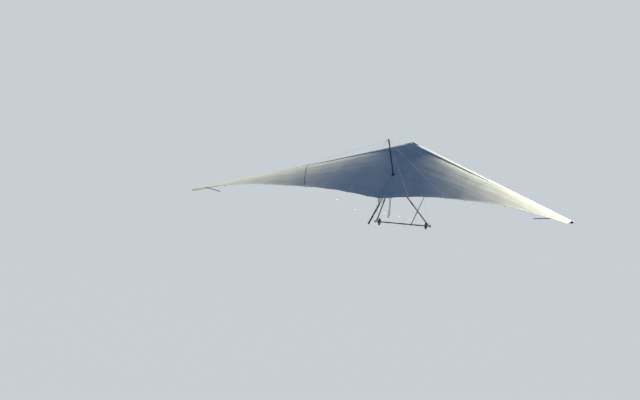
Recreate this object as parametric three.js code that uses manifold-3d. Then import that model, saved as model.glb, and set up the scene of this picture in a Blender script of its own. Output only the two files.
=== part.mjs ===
// Hang glider: single-surface sail on a tube airframe with a kingpost, a control frame on two wheels,
// hang straps and a camera boom. It stands parked, tail down, on its wheels and the keel's end.
// Millimetres. The airframe is laid out in its own frame: x to the pilot's left, y aft from the nose,
// z up, square to the keel, whose axis is z = 0. The whole frame is then pitched nose up.
import * as THREE from "three";
import { mergeVertices } from "three/addons/utils/BufferGeometryUtils.js";
import Module from "manifold-3d";

const wasm = await Module();
wasm.setup();

// Driving dimensions
const HALF_SPAN = 5200;
const SWEEP = THREE.MathUtils.degToRad(32.7);
const JUNCTION_X = 3146; // where the crossbar meets the leading edge
const JUNCTION_RISE = 65; // height of the leading edge there
const TIP_BEND_AFT = 157; // how far the sail's pull bends the tip aft
const TIP_BEND_UP = 126; // and up
const LE_RADIUS = 25;
const LE_ROOT_X = 45;

const KEEL_LENGTH = 4000;
const KEEL_RADIUS = 21;
const KEEL_NOSE_RADIUS = 27.1; // sleeve between the nose plates
const KEEL_NOSE_SLEEVE = 150;
const END_CAP_RADIUS = 24;
const END_CAP_DEPTH = 45;
const REAR_FITTING_Y = 3356;
const REAR_SLEEVE = { from: 3640, to: 3730, radius: 24 };

const PLATE_THICKNESS = 4;
const PLATE_OFFSET = 27.4; // from the keel axis to a nose plate's inner face
const NOSE_KNOB_TOP = new THREE.Vector3(0, 118, 60);
const NOSE_KNOB_BOTTOM = new THREE.Vector3(0, 62, -46);

const CROSSBAR_RADIUS = 26;
const CROSSBAR_CENTRE = new THREE.Vector3(0, 1700, 60);
const CROSSBAR_INNER_X = 30;
const CROSSBAR_END_GAP = 125; // from the junction point back to the tube's end

const KINGPOST_Y = 1842;
const KINGPOST_RADIUS = 16;
const KINGPOST_TOP = 1225;
const SOCKET_RADIUS = 21;
const SOCKET_TOP = 75;

const APEX = new THREE.Vector3(0, 1892, -30);
const APEX_HALF_WIDTH = 45;
const CORNER = new THREE.Vector3(760, 1596, -1646); // left end of the control frame
const DOWNTUBE_RADIUS = 16;
const DOWNTUBE_GAP = 45; // from the frame's corner points to the tube's ends
const GRIP = { middle: 0.5, length: 120, radius: 20 };
const BAR_RADIUS = 14.5;
const BAR_HALF = 783;
const BAR_KNOB = { radius: 28, length: 34 };

const WHEEL_X = 676;
const WHEEL_RADIUS = 95;
const WHEEL_WIDTH = 34;
const RIM_RADIUS = 75.7;
const HUB_RADIUS = 24;
const SPOKES = 5;
const COLLAR_RADIUS = 19;

const WIRE_RADIUS = 1.5;
const KNOB_RADIUS = 10;
const CAP_KNOB_RADIUS = 22;

const SAIL_THICKNESS = 3;
const SAIL_ROOT_X = 2.6;
const SAIL_TIP_X = 5180;
const POCKET_HALF_HEIGHT = 34; // of the leading edge pocket, inside
const POCKET_NOSE = 45; // fore and aft half axis of its rounded front
const POCKET_DEPTH = { root: 125, tip: 90 }; // from the leading edge's axis back to the hem
const NOSE_OPEN = 175; // half width left open under the sail's nose
const COVER_HALF_WIDTH = 210;
const COVER_GAP = 0.9; // to the sail
const COVER_POINTS = [2, 14]; // the stretch of the sail's section that the nose cover wraps
const FIN_HALF_THICKNESS = 2;
const FIN_FRONT_Y = 2150;

const STRUT_RADIUS = 9.5;
const STRUT_ROOT_X = 4940;
const STRUT_END = new THREE.Vector3(4278, 3694, 380);

const STRAP = { width: 30, thickness: 4, length: 850, loop: 21.6, places: [1938, 2048] };
const CARABINER = { radius: 5, width: 56, height: 96, bend: 10 };

const BOOM_X = -250; // on the pilot's right
const BOOM_LENGTH = 1360;
const BOOM_RISE = 75;
const BOOM_RADIUS = 8;

const TOUCH = 0.3; // gap between pieces that touch
const RUNNING = 14.8; // bore of what turns on the base bar

// Share of the half span, then distance aft of the nose and height above the keel axis
const TRAILING_EDGE = [
  [0, 3116, 195],
  [0.25, 3200, 415],
  [0.5, 3430, 570],
  [0.67, 3600, 630],
  [0.85, 3800, 590],
  [1, 3912, 470],
];
// Share of the half span, then camber as a share of the chord
const CAMBER = [
  [0, 0],
  [0.15, 0.024],
  [0.35, 0.034],
  [0.7, 0.045],
  [1, 0.05],
];
const ARCH = { rise: 0.75, fall: 1.2 }; // powers of the camber's arch along the chord
const SAIL_STATIONS = [0, 0.05, 0.11, 0.18, 0.26, 0.34, 0.42, 0.5, 0.57, 0.64, 0.71, 0.78, 0.85, 0.91, 0.96, 1];

const SIDES = [
  ["left", 1],
  ["right", -1],
];

// Materials
function finish(color, roughness, metalness) {
  return new THREE.MeshStandardMaterial({ color, roughness, metalness });
}
const MATERIAL = {
  tube: finish(0x3b3e42, 0.38, 0.9),
  bright: finish(0x9ea2a6, 0.35, 1),
  wire: finish(0x8c8f93, 0.4, 1),
  sail: finish(0xe9e6d8, 0.7, 0),
  cover: finish(0xd8d5c6, 0.75, 0),
  pocket: finish(0x7d94a4, 0.75, 0),
  rubber: finish(0x1c1c1d, 0.85, 0),
  plastic: finish(0x232426, 0.55, 0),
  webbing: finish(0x202124, 0.9, 0),
};

// Solids
function solidOf(geometry) {
  const plain = new THREE.BufferGeometry();
  plain.setAttribute("position", geometry.getAttribute("position").clone());
  if (geometry.index) plain.setIndex(geometry.index.clone());
  const merged = mergeVertices(plain, 1e-3);
  return new wasm.Manifold(
    new wasm.Mesh({
      numProp: 3,
      vertProperties: merged.getAttribute("position").array,
      triVerts: new Uint32Array(merged.index.array),
    }),
  );
}

function geometryOf(solid) {
  const mesh = solid.getMesh();
  const positions = new Float32Array(mesh.numVert * 3);
  for (let i = 0; i < mesh.numVert; i++) {
    positions.set(mesh.vertProperties.subarray(i * mesh.numProp, i * mesh.numProp + 3), i * 3);
  }
  const geometry = new THREE.BufferGeometry();
  geometry.setAttribute("position", new THREE.BufferAttribute(positions, 3));
  geometry.setIndex(new THREE.BufferAttribute(mesh.triVerts, 1));
  geometry.computeVertexNormals();
  return geometry;
}

function joined(...geometries) {
  const solid = geometries.map(solidOf).reduce((sum, next) => sum.add(next));
  return geometryOf(solid);
}

function cut(geometry, ...tools) {
  const solid = tools.map(solidOf).reduce((rest, tool) => rest.subtract(tool), solidOf(geometry));
  return geometryOf(solid);
}

// A round bar from one point to another
function rod(from, to, radius, sides = 12) {
  const along = to.clone().sub(from);
  const geometry = new THREE.CylinderGeometry(radius, radius, along.length(), sides);
  const turn = new THREE.Quaternion().setFromUnitVectors(new THREE.Vector3(0, 1, 0), along.normalize());
  geometry.applyQuaternion(turn);
  const middle = from.clone().add(to).multiplyScalar(0.5);
  return geometry.translate(middle.x, middle.y, middle.z);
}

// The tool for a round hole whose flats still clear the radius
function bore(from, to, radius, sides = 20) {
  return rod(from, to, radius / Math.cos(Math.PI / sides), sides);
}

function ball(centre, radius, sides = 12) {
  return new THREE.SphereGeometry(radius, sides, sides / 2).translate(centre.x, centre.y, centre.z);
}

function block(centre, width, depth, height) {
  return new THREE.BoxGeometry(width, depth, height).translate(centre.x, centre.y, centre.z);
}

// A turned shape: [distance along the axis, radius] pairs, turned about the x axis or the y axis
function turned(profile, axis, sides) {
  const points = profile.map(([along, radius]) => new THREE.Vector2(radius, along));
  const geometry = new THREE.LatheGeometry(points, sides);
  if (axis === "x") geometry.rotateZ(-Math.PI / 2);
  return geometry;
}

function at(side, point) {
  return new THREE.Vector3(side * point.x, point.y, point.z);
}

function toward(from, to, distance) {
  return from.clone().add(to.clone().sub(from).setLength(distance));
}

// Smooth value from a table whose first column is the share of the half span
function smooth(table, share, column) {
  let row = 0;
  while (row < table.length - 2 && share > table[row + 1][0]) row++;
  const slopeAt = (k) => {
    const before = table[Math.max(k - 1, 0)];
    const after = table[Math.min(k + 1, table.length - 1)];
    return (after[column] - before[column]) / (after[0] - before[0]);
  };
  const span = table[row + 1][0] - table[row][0];
  const t = (share - table[row][0]) / span;
  const rise = table[row + 1][column] - table[row][column];
  const startSlope = slopeAt(row) * span;
  const endSlope = slopeAt(row + 1) * span;
  const bend = t * t * t * (startSlope + endSlope - 2 * rise) + t * t * (3 * rise - 2 * startSlope - endSlope);
  return table[row][column] + startSlope * t + bend;
}

// Leading edge tube: straight to the junction, then bent aft and up by the sail
function leadingEdgeAt(x) {
  const past = Math.max(0, (x - JUNCTION_X) / (HALF_SPAN - JUNCTION_X));
  return new THREE.Vector3(
    x,
    x * Math.tan(SWEEP) + TIP_BEND_AFT * past * past,
    (x * JUNCTION_RISE) / JUNCTION_X - 1 + TIP_BEND_UP * past * past,
  );
}

function leadingEdgeDirection(x) {
  return leadingEdgeAt(x + 1).sub(leadingEdgeAt(x)).normalize();
}

class LeadingEdgeCurve extends THREE.Curve {
  constructor(side) {
    super();
    this.side = side;
  }
  getPoint(t, target = new THREE.Vector3()) {
    return target.copy(at(this.side, leadingEdgeAt(LE_ROOT_X + (HALF_SPAN - LE_ROOT_X) * t)));
  }
}

// Sail: height of its under side at a distance aft of the nose
function sailHeight(x, y) {
  const share = x / HALF_SPAN;
  const edge = leadingEdgeAt(x);
  const trailingY = smooth(TRAILING_EDGE, share, 1);
  const trailingZ = smooth(TRAILING_EDGE, share, 2);
  const chord = trailingY - edge.y;
  const t = THREE.MathUtils.clamp((y - edge.y) / chord, 0, 1);
  const peak = ARCH.rise / (ARCH.rise + ARCH.fall);
  const arch = Math.pow(t / peak, ARCH.rise) * Math.pow((1 - t) / (1 - peak), ARCH.fall);
  const nose = POCKET_HALF_HEIGHT * Math.pow(1 - t, 4);
  return edge.z + (trailingZ - edge.z) * t + chord * smooth(CAMBER, share, 1) * arch + nose;
}

function stationX(share) {
  return SAIL_ROOT_X + (SAIL_TIP_X - SAIL_ROOT_X) * share;
}

// One chordwise section, from the hem under the leading edge round its front to the trailing edge
function sailSection(x) {
  const share = x / HALF_SPAN;
  const edge = leadingEdgeAt(x);
  const heading = leadingEdgeDirection(x);
  const slack = 0.5 + 2.5 * THREE.MathUtils.smoothstep(x, 2900, 3500);
  const front = edge.y - LE_RADIUS / (heading.x / Math.hypot(heading.x, heading.y)) - slack;
  const centre = front + POCKET_NOSE;
  const reach = edge.y - front;
  const trailingY = smooth(TRAILING_EDGE, share, 1);
  const points = [];
  const hemY = edge.y + POCKET_DEPTH.root + (POCKET_DEPTH.tip - POCKET_DEPTH.root) * share;
  points.push([hemY, sailHeight(x, hemY) - 10]);
  points.push([edge.y + reach + 22, edge.z - 20]);
  points.push([edge.y + reach - 5, edge.z - POCKET_HALF_HEIGHT + 1]);
  const arcSteps = 10;
  for (let k = 0; k <= arcSteps; k++) {
    const angle = -Math.PI / 2 - (Math.PI * k) / arcSteps;
    const topRise = k === arcSteps ? sailHeight(x, centre) - edge.z : POCKET_HALF_HEIGHT;
    points.push([centre + POCKET_NOSE * Math.cos(angle), edge.z + topRise * Math.sin(angle)]);
  }
  const chordSteps = 16;
  for (let k = 1; k <= chordSteps; k++) {
    const y = centre + (trailingY - centre) * Math.pow(k / chordSteps, 1.35);
    points.push([y, sailHeight(x, y)]);
  }
  return points;
}

// The same section moved out by a distance, square to its own line
function offsetSection(points, distance) {
  return points.map((point, k) => {
    const before = points[Math.max(k - 1, 0)];
    const after = points[Math.min(k + 1, points.length - 1)];
    const along = new THREE.Vector2(after[0] - before[0], after[1] - before[1]).normalize();
    return [point[0] - along.y * distance, point[1] + along.x * distance];
  });
}

// Closed thin shell between two grids of [x, y, z], seen from outside with x and the section's order rising
function shell(outer, inner) {
  const rows = outer.length;
  const columns = outer[0].length;
  const positions = [...outer.flat(), ...inner.flat()].flat();
  const o = (i, j) => i * columns + j;
  const n = (i, j) => rows * columns + i * columns + j;
  const faces = [];
  const quad = (a, b, c, d) => faces.push([a, b, c], [a, c, d]);
  for (let i = 0; i < rows - 1; i++) {
    for (let j = 0; j < columns - 1; j++) {
      quad(o(i, j), o(i + 1, j), o(i + 1, j + 1), o(i, j + 1));
      quad(n(i, j), n(i, j + 1), n(i + 1, j + 1), n(i + 1, j));
    }
    quad(o(i + 1, 0), o(i, 0), n(i, 0), n(i + 1, 0));
    quad(o(i, columns - 1), o(i + 1, columns - 1), n(i + 1, columns - 1), n(i, columns - 1));
  }
  for (let j = 0; j < columns - 1; j++) {
    quad(o(0, j), o(0, j + 1), n(0, j + 1), n(0, j));
    quad(o(rows - 1, j + 1), o(rows - 1, j), n(rows - 1, j), n(rows - 1, j + 1));
  }
  const geometry = new THREE.BufferGeometry();
  geometry.setAttribute("position", new THREE.Float32BufferAttribute(positions, 3));
  geometry.setIndex(faces.flat());
  geometry.computeVertexNormals();
  return geometry;
}

const glider = new THREE.Group(); // in the airframe's own frame, pitched nose up at the end

function add(name, material, geometry, parent = glider) {
  const mesh = new THREE.Mesh(geometry, material);
  mesh.name = name;
  parent.add(mesh);
  return mesh;
}

// Wire points
const kingpostKnob = new THREE.Vector3(0, KINGPOST_Y, KINGPOST_TOP);
const rearKnobTop = new THREE.Vector3(0, REAR_FITTING_Y, 40);
const rearKnobBottom = new THREE.Vector3(0, REAR_FITTING_Y, -40);
const junction = leadingEdgeAt(JUNCTION_X);
const crossbarRun = junction.clone().sub(CROSSBAR_CENTRE).normalize();
const crossbarAft = new THREE.Vector3(-crossbarRun.y, crossbarRun.x, 0).normalize();
const lugPoint = junction.clone().addScaledVector(crossbarRun, -75);
const junctionKnobTop = lugPoint.clone().addScaledVector(crossbarAft, 10).add(new THREE.Vector3(0, 0, 22));
const junctionKnobBottom = lugPoint.clone().addScaledVector(crossbarAft, 10).add(new THREE.Vector3(0, 0, -22));
const cornerKnob = CORNER.clone().add(new THREE.Vector3(14, 0, 32));

// The pitch that puts the wheels and the keel's round end on one floor
const wheelBase = KEEL_LENGTH - CORNER.y;
const reach = Math.hypot(wheelBase, CORNER.z);
const PITCH = Math.asin((WHEEL_RADIUS - END_CAP_RADIUS) / reach) + Math.atan2(-CORNER.z, wheelBase);

// The tool that keeps a fitting clear of the keel
function keelBore(y) {
  const half = 100;
  return bore(new THREE.Vector3(0, y - half, 0), new THREE.Vector3(0, y + half, 0), KEEL_RADIUS + TOUCH, 24);
}

function addKeel() {
  const capFrom = KEEL_LENGTH - END_CAP_DEPTH;
  add("keel_tube", MATERIAL.tube, turned([
    [-12, 0],
    [-12, KEEL_NOSE_RADIUS],
    [KEEL_NOSE_SLEEVE, KEEL_NOSE_RADIUS],
    [KEEL_NOSE_SLEEVE, KEEL_RADIUS],
    [REAR_SLEEVE.from, KEEL_RADIUS],
    [REAR_SLEEVE.from, REAR_SLEEVE.radius],
    [REAR_SLEEVE.to, REAR_SLEEVE.radius],
    [REAR_SLEEVE.to, KEEL_RADIUS],
    [capFrom + 25, KEEL_RADIUS],
    [capFrom + 25, 0],
  ], "y", 24));

  const cap = [
    [capFrom + 25 + TOUCH, 0],
    [capFrom + 25 + TOUCH, KEEL_RADIUS + TOUCH],
    [capFrom, KEEL_RADIUS + TOUCH],
    [capFrom, END_CAP_RADIUS],
  ];
  const roundSteps = 8;
  for (let k = 0; k <= roundSteps; k++) {
    const angle = (Math.PI / 2) * (k / roundSteps);
    cap.push([KEEL_LENGTH + END_CAP_RADIUS * Math.sin(angle), END_CAP_RADIUS * Math.cos(angle)]);
  }
  cap[cap.length - 1][1] = 0;
  add("keel_end_cap", MATERIAL.rubber, turned(cap, "y", 24));

  const ring = cut(
    joined(
      rod(new THREE.Vector3(0, REAR_FITTING_Y - 22, 0), new THREE.Vector3(0, REAR_FITTING_Y + 22, 0), 26, 24),
      rod(rearKnobBottom, rearKnobTop, 6),
      ball(rearKnobTop, KNOB_RADIUS),
      ball(rearKnobBottom, KNOB_RADIUS),
    ),
    keelBore(REAR_FITTING_Y),
  );
  add("keel_rear_fitting", MATERIAL.bright, ring);
}

// Nose plates: a flat triangle with cropped corners above and below the tubes
function nosePlate(level, knob) {
  const outline = new THREE.Shape();
  outline.moveTo(-14, 20);
  outline.lineTo(14, 20);
  outline.lineTo(150, 108);
  outline.lineTo(132, 150);
  outline.lineTo(34, 165);
  outline.lineTo(-34, 165);
  outline.lineTo(-132, 150);
  outline.lineTo(-150, 108);
  outline.closePath();
  const plate = new THREE.ExtrudeGeometry(outline, { depth: PLATE_THICKNESS, bevelEnabled: false });
  plate.translate(0, 0, level);
  const foot = new THREE.Vector3(knob.x, knob.y, level + PLATE_THICKNESS / 2);
  return joined(plate, rod(foot, knob, 6), ball(knob, KNOB_RADIUS));
}

function addNose() {
  add("nose_plate_upper", MATERIAL.bright, nosePlate(PLATE_OFFSET, NOSE_KNOB_TOP));
  add("nose_plate_lower", MATERIAL.bright, nosePlate(-PLATE_OFFSET - PLATE_THICKNESS, NOSE_KNOB_BOTTOM));

  const inner = [];
  const outer = [];
  for (const x of [0, COVER_HALF_WIDTH]) {
    const section = noseSection(x);
    const base = offsetSection(section, SAIL_THICKNESS + COVER_GAP);
    const skin = offsetSection(section, 2 * SAIL_THICKNESS + COVER_GAP);
    inner.push(base.slice(...COVER_POINTS).map(([y, z]) => [x, y, z]));
    outer.push(skin.slice(...COVER_POINTS).map(([y, z]) => [x, y, z]));
  }
  const half = shell(outer, inner);
  add("nose_cover", MATERIAL.cover, joined(half, mirrored(half)));
}

// The sail's section near the nose, on the straight run between its first two stations
function noseSection(x) {
  const [first, second] = [SAIL_STATIONS[0], SAIL_STATIONS[1]].map(stationX);
  const share = (x - first) / (second - first);
  const start = sailSection(first);
  const end = sailSection(second);
  return start.map(([y, z], k) => [y + (end[k][0] - y) * share, z + (end[k][1] - z) * share]);
}

function addLeadingEdge(name, side) {
  const section = new THREE.Shape();
  section.absarc(0, 0, LE_RADIUS, 0, Math.PI * 2);
  const tube = new THREE.ExtrudeGeometry(section, {
    steps: 16,
    curveSegments: 10,
    extrudePath: new LeadingEdgeCurve(side),
  });
  add("leading_edge_" + name, MATERIAL.tube, tube);

  const end = leadingEdgeAt(HALF_SPAN);
  const heading = leadingEdgeDirection(HALF_SPAN);
  const capFrom = end.clone().addScaledVector(heading, TOUCH);
  const capTo = end.clone().addScaledVector(heading, 30);
  add("leading_edge_cap_" + name, MATERIAL.plastic, rod(at(side, capFrom), at(side, capTo), LE_RADIUS, 20));
}

function addCrossbar(name, side) {
  const inner = CROSSBAR_CENTRE.clone().addScaledVector(crossbarRun, CROSSBAR_INNER_X / crossbarRun.x);
  const outer = junction.clone().addScaledVector(crossbarRun, -CROSSBAR_END_GAP);
  add("crossbar_" + name, MATERIAL.tube, rod(at(side, inner), at(side, outer), CROSSBAR_RADIUS, 20));

  // Bracket: half a collar on the leading edge, a web, and two cheeks over the crossbar's end
  const heading = leadingEdgeDirection(JUNCTION_X);
  const collarFrom = junction.clone().addScaledVector(heading, -95);
  const collarTo = junction.clone().addScaledVector(heading, -5);
  const web = new THREE.BoxGeometry(CROSSBAR_END_GAP - 26 - TOUCH, 10, 60.6);
  web.translate(-(CROSSBAR_END_GAP + 26 - TOUCH) / 2, 0, 0);
  const cheeks = [-1, 1].map((over) =>
    new THREE.BoxGeometry(63, 40, 4).translate(-143.5, 0, over * (CROSSBAR_RADIUS + 2 + TOUCH)),
  );
  const turn = new THREE.Quaternion().setFromUnitVectors(new THREE.Vector3(1, 0, 0), crossbarRun);
  const placed = [web, ...cheeks].map((piece) =>
    piece.applyQuaternion(turn).translate(junction.x, junction.y, junction.z),
  );
  const knobs = [junctionKnobTop, junctionKnobBottom].map((knob) => ball(knob, 9));
  const bracket = joined(rod(collarFrom, collarTo, 28.5, 20), ...placed, ...knobs);

  const boreFrom = junction.clone().addScaledVector(heading, -220);
  const boreTo = junction.clone().addScaledVector(heading, 220);
  const open = new THREE.BoxGeometry(240, 40, 80).translate(0, -25, 0);
  open.applyQuaternion(new THREE.Quaternion().setFromUnitVectors(new THREE.Vector3(1, 0, 0), heading));
  open.translate(junction.x, junction.y, junction.z);
  const trimmed = cut(bracket, bore(boreFrom, boreTo, LE_RADIUS + TOUCH), open);
  add("junction_bracket_" + name, MATERIAL.bright, side > 0 ? trimmed : mirrored(trimmed));
}

// A copy on the other side of the keel
function mirrored(geometry) {
  const flipped = geometry.clone().scale(-1, 1, 1);
  const index = flipped.index.array.slice();
  for (let k = 0; k < index.length; k += 3) {
    [index[k + 1], index[k + 2]] = [index[k + 2], index[k + 1]];
  }
  flipped.setIndex(new THREE.BufferAttribute(index, 1));
  flipped.computeVertexNormals();
  return flipped;
}

function addCentre() {
  const hingeTop = CROSSBAR_CENTRE.z + CROSSBAR_RADIUS;
  const hingeBottom = KEEL_RADIUS + TOUCH;
  const hingeMiddle = new THREE.Vector3(0, CROSSBAR_CENTRE.y, (hingeTop + hingeBottom) / 2);
  const hingeWidth = 2 * (CROSSBAR_INNER_X - 3);
  add("crossbar_hinge", MATERIAL.bright, block(hingeMiddle, hingeWidth, 44, hingeTop - hingeBottom));

  const up = (z) => new THREE.Vector3(0, KINGPOST_Y, z);
  const socket = joined(
    rod(up(KEEL_RADIUS - 10), up(SOCKET_TOP), SOCKET_RADIUS, 20),
    block(up(KEEL_RADIUS - 4), 36, 80, 20),
  );
  add("kingpost_socket", MATERIAL.bright, cut(socket, keelBore(KINGPOST_Y)));
  const capRoot = KINGPOST_TOP - 34;
  add("kingpost", MATERIAL.tube, rod(up(SOCKET_TOP + TOUCH), up(capRoot), KINGPOST_RADIUS, 20));
  add("kingpost_cap", MATERIAL.plastic, joined(
    rod(up(capRoot + TOUCH), up(KINGPOST_TOP), KINGPOST_RADIUS, 20),
    ball(kingpostKnob, CAP_KNOB_RADIUS, 16),
  ));
}

function addControlFrame() {
  const width = 2 * APEX_HALF_WIDTH + 40;
  const head = block(new THREE.Vector3(0, APEX.y, APEX.z - 3), width, 44, 2 * (-APEX.z - 3) - KEEL_RADIUS);
  const plugs = SIDES.map(([, side]) => {
    const top = at(side, new THREE.Vector3(APEX_HALF_WIDTH, APEX.y, APEX.z));
    return rod(top, toward(top, at(side, CORNER), DOWNTUBE_GAP - TOUCH), 14);
  });
  add("apex_bracket", MATERIAL.bright, cut(joined(head, ...plugs), keelBore(APEX.y)));

  const end = new THREE.Vector3(BAR_HALF, CORNER.y, CORNER.z);
  add("base_bar", MATERIAL.tube, rod(at(-1, end), end, BAR_RADIUS, 24));
}

function addControlFrameSide(name, side) {
  const top = at(side, new THREE.Vector3(APEX_HALF_WIDTH, APEX.y, APEX.z));
  const corner = at(side, CORNER);
  const tubeTop = toward(top, corner, DOWNTUBE_GAP);
  const tubeBottom = toward(corner, top, DOWNTUBE_GAP);
  add("downtube_" + name, MATERIAL.tube, rod(tubeTop, tubeBottom, DOWNTUBE_RADIUS, 20));

  const middle = top.clone().lerp(corner, GRIP.middle);
  const gripFrom = toward(middle, top, GRIP.length / 2);
  const gripTo = toward(middle, corner, GRIP.length / 2);
  const sleeve = cut(
    rod(gripFrom, gripTo, GRIP.radius, 20),
    bore(toward(middle, top, GRIP.length), toward(middle, corner, GRIP.length), DOWNTUBE_RADIUS + TOUCH),
  );
  add("downtube_grip_" + name, MATERIAL.rubber, sleeve);

  const alongBar = (x) => at(side, new THREE.Vector3(x, CORNER.y, CORNER.z));
  const knob = at(side, cornerKnob);
  const bracketFrom = WHEEL_X + WHEEL_WIDTH / 2 + 0.6;
  const bracket = cut(
    joined(
      rod(alongBar(bracketFrom), alongBar(BAR_HALF), COLLAR_RADIUS, 24),
      rod(corner, toward(corner, top, DOWNTUBE_GAP - TOUCH), DOWNTUBE_RADIUS - 1),
      rod(corner, knob, 8),
      ball(knob, KNOB_RADIUS + 1),
    ),
    bore(alongBar(bracketFrom - 20), alongBar(BAR_HALF + 20), RUNNING, 24),
  );
  add("corner_bracket_" + name, MATERIAL.bright, bracket);

  const cap = turned([
    [0, 0],
    [0, 20],
    [7, BAR_KNOB.radius],
    [BAR_KNOB.length - 10, BAR_KNOB.radius],
    [BAR_KNOB.length, 19],
    [BAR_KNOB.length, 0],
  ], "x", 24);
  const capMesh = add("bar_end_knob_" + name, MATERIAL.plastic, cap);
  capMesh.position.copy(alongBar(BAR_HALF + TOUCH));
  if (side < 0) capMesh.rotation.y = Math.PI;
}

function addWheel(name, side) {
  const hub = new THREE.Group();
  hub.position.set(side * WHEEL_X, CORNER.y, CORNER.z);
  hub.rotation.x = PITCH;
  glider.add(hub);
  const half = WHEEL_WIDTH / 2;

  const tyre = turned([
    [-half, RIM_RADIUS + TOUCH],
    [-half, RIM_RADIUS + 7],
    [-half + 5, WHEEL_RADIUS - 4],
    [-9, WHEEL_RADIUS],
    [9, WHEEL_RADIUS],
    [half - 5, WHEEL_RADIUS - 4],
    [half, RIM_RADIUS + 7],
    [half, RIM_RADIUS + TOUCH],
    [-half, RIM_RADIUS + TOUCH],
  ], "x", 40);
  add("tyre_" + name, MATERIAL.rubber, tyre, hub);

  const ring = (from, to, width) => {
    const outer = rod(new THREE.Vector3(-width / 2, 0, 0), new THREE.Vector3(width / 2, 0, 0), to, 32);
    const hole = bore(new THREE.Vector3(-width, 0, 0), new THREE.Vector3(width, 0, 0), from, 32);
    return cut(outer, hole);
  };
  const spokes = [];
  for (let k = 0; k < SPOKES; k++) {
    const length = RIM_RADIUS - HUB_RADIUS;
    const spoke = new THREE.BoxGeometry(12, 16, length).translate(0, 0, HUB_RADIUS + length / 2 - 3);
    spokes.push(spoke.rotateX((2 * Math.PI * k) / SPOKES));
  }
  const wheel = joined(
    ring(RIM_RADIUS - 7, RIM_RADIUS, 28),
    ring(RUNNING, HUB_RADIUS, WHEEL_WIDTH),
    ...spokes,
  );
  add("wheel_" + name, MATERIAL.plastic, wheel, hub);

  const alongBar = (x) => new THREE.Vector3(side * x, CORNER.y, CORNER.z);
  const collarTo = WHEEL_X - half - 0.6;
  const collar = cut(
    rod(alongBar(collarTo - 18), alongBar(collarTo), COLLAR_RADIUS, 24),
    bore(alongBar(collarTo - 30), alongBar(collarTo + 10), RUNNING, 24),
  );
  add("wheel_collar_" + name, MATERIAL.bright, collar);
}

function addSail(name, side) {
  const inner = [];
  const outer = [];
  for (const share of SAIL_STATIONS) {
    const x = stationX(share);
    const base = sailSection(x);
    inner.push(base.map(([y, z]) => [x, y, z]));
    outer.push(offsetSection(base, SAIL_THICKNESS).map(([y, z]) => [x, y, z]));
  }
  const whole = shell(outer, inner);

  const noseOpening = block(new THREE.Vector3(0, 150, -35), 2 * NOSE_OPEN, 500, 131);
  const kingpostHole = rod(
    new THREE.Vector3(0, KINGPOST_Y, 60),
    new THREE.Vector3(0, KINGPOST_Y, 200),
    KINGPOST_RADIUS + 10,
    20,
  );
  const aboveNose = (z) => new THREE.Vector3(0, NOSE_KNOB_TOP.y, z);
  const frontWireHole = rod(aboveNose(20), aboveNose(90), 15);
  const sideWireHole = rod(
    toward(junctionKnobTop, kingpostKnob, 5),
    toward(junctionKnobTop, kingpostKnob, 700),
    9,
  );
  const heading = leadingEdgeDirection(JUNCTION_X);
  const underCut = new THREE.BoxGeometry(460, 200, 135).translate(-115, 122, -32.5);
  underCut.applyQuaternion(new THREE.Quaternion().setFromUnitVectors(new THREE.Vector3(1, 0, 0), heading));
  underCut.translate(junction.x, junction.y, junction.z);
  const strutHole = rod(strutRoot(), toward(strutRoot(), STRUT_END, 220), STRUT_RADIUS + 7);
  const trimmed = cut(whole, noseOpening, kingpostHole, frontWireHole, sideWireHole, underCut, strutHole);
  add("sail_" + name, MATERIAL.sail, side > 0 ? trimmed : mirrored(trimmed));
}

function strutRoot() {
  const edge = leadingEdgeAt(STRUT_ROOT_X);
  return toward(edge, STRUT_END, 30.5);
}

function addStrut(name, side) {
  add("washout_strut_" + name, MATERIAL.tube, rod(at(side, strutRoot()), at(side, STRUT_END), STRUT_RADIUS));
}

// The keel pocket: an upright panel of cloth from the sail's centre line down to the keel
function addKeelPocket() {
  const outline = new THREE.Shape();
  const bottom = KEEL_RADIUS + TOUCH;
  const rear = smooth(TRAILING_EDGE, 0, 1);
  outline.moveTo(FIN_FRONT_Y, bottom);
  outline.lineTo(rear, bottom);
  outline.lineTo(rear, sailHeight(0, rear) + SAIL_THICKNESS);
  const steps = 6;
  for (let k = 1; k <= steps; k++) {
    const y = rear + (FIN_FRONT_Y - rear) * (k / steps);
    outline.lineTo(y, sailHeight(0, y) + SAIL_THICKNESS);
  }
  outline.closePath();
  const panel = new THREE.ExtrudeGeometry(outline, { depth: 2 * FIN_HALF_THICKNESS, bevelEnabled: false });
  panel.translate(0, 0, -FIN_HALF_THICKNESS);
  const upright = new THREE.Matrix4().makeBasis(
    new THREE.Vector3(0, 1, 0),
    new THREE.Vector3(0, 0, 1),
    new THREE.Vector3(1, 0, 0),
  );
  add("keel_pocket", MATERIAL.pocket, panel.applyMatrix4(upright));
}

function addWire(name, from, fromRadius, to, toRadius) {
  const start = toward(from, to, fromRadius + TOUCH);
  const end = toward(to, from, toRadius + TOUCH);
  add(name, MATERIAL.wire, rod(start, end, WIRE_RADIUS, 8));
}

function addRigging() {
  addWire("upper_front_wire", kingpostKnob, CAP_KNOB_RADIUS, NOSE_KNOB_TOP, KNOB_RADIUS);
  addWire("upper_rear_wire", kingpostKnob, CAP_KNOB_RADIUS, rearKnobTop, KNOB_RADIUS);
  for (const [name, side] of SIDES) {
    const corner = at(side, cornerKnob);
    const bottom = KNOB_RADIUS + 1;
    addWire("upper_side_wire_" + name, kingpostKnob, CAP_KNOB_RADIUS, at(side, junctionKnobTop), 9);
    addWire("lower_side_wire_" + name, corner, bottom, at(side, junctionKnobBottom), 9);
    addWire("lower_front_wire_" + name, corner, bottom, NOSE_KNOB_BOTTOM, KNOB_RADIUS);
    addWire("lower_rear_wire_" + name, corner, bottom, rearKnobBottom, KNOB_RADIUS);
  }
}

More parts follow.
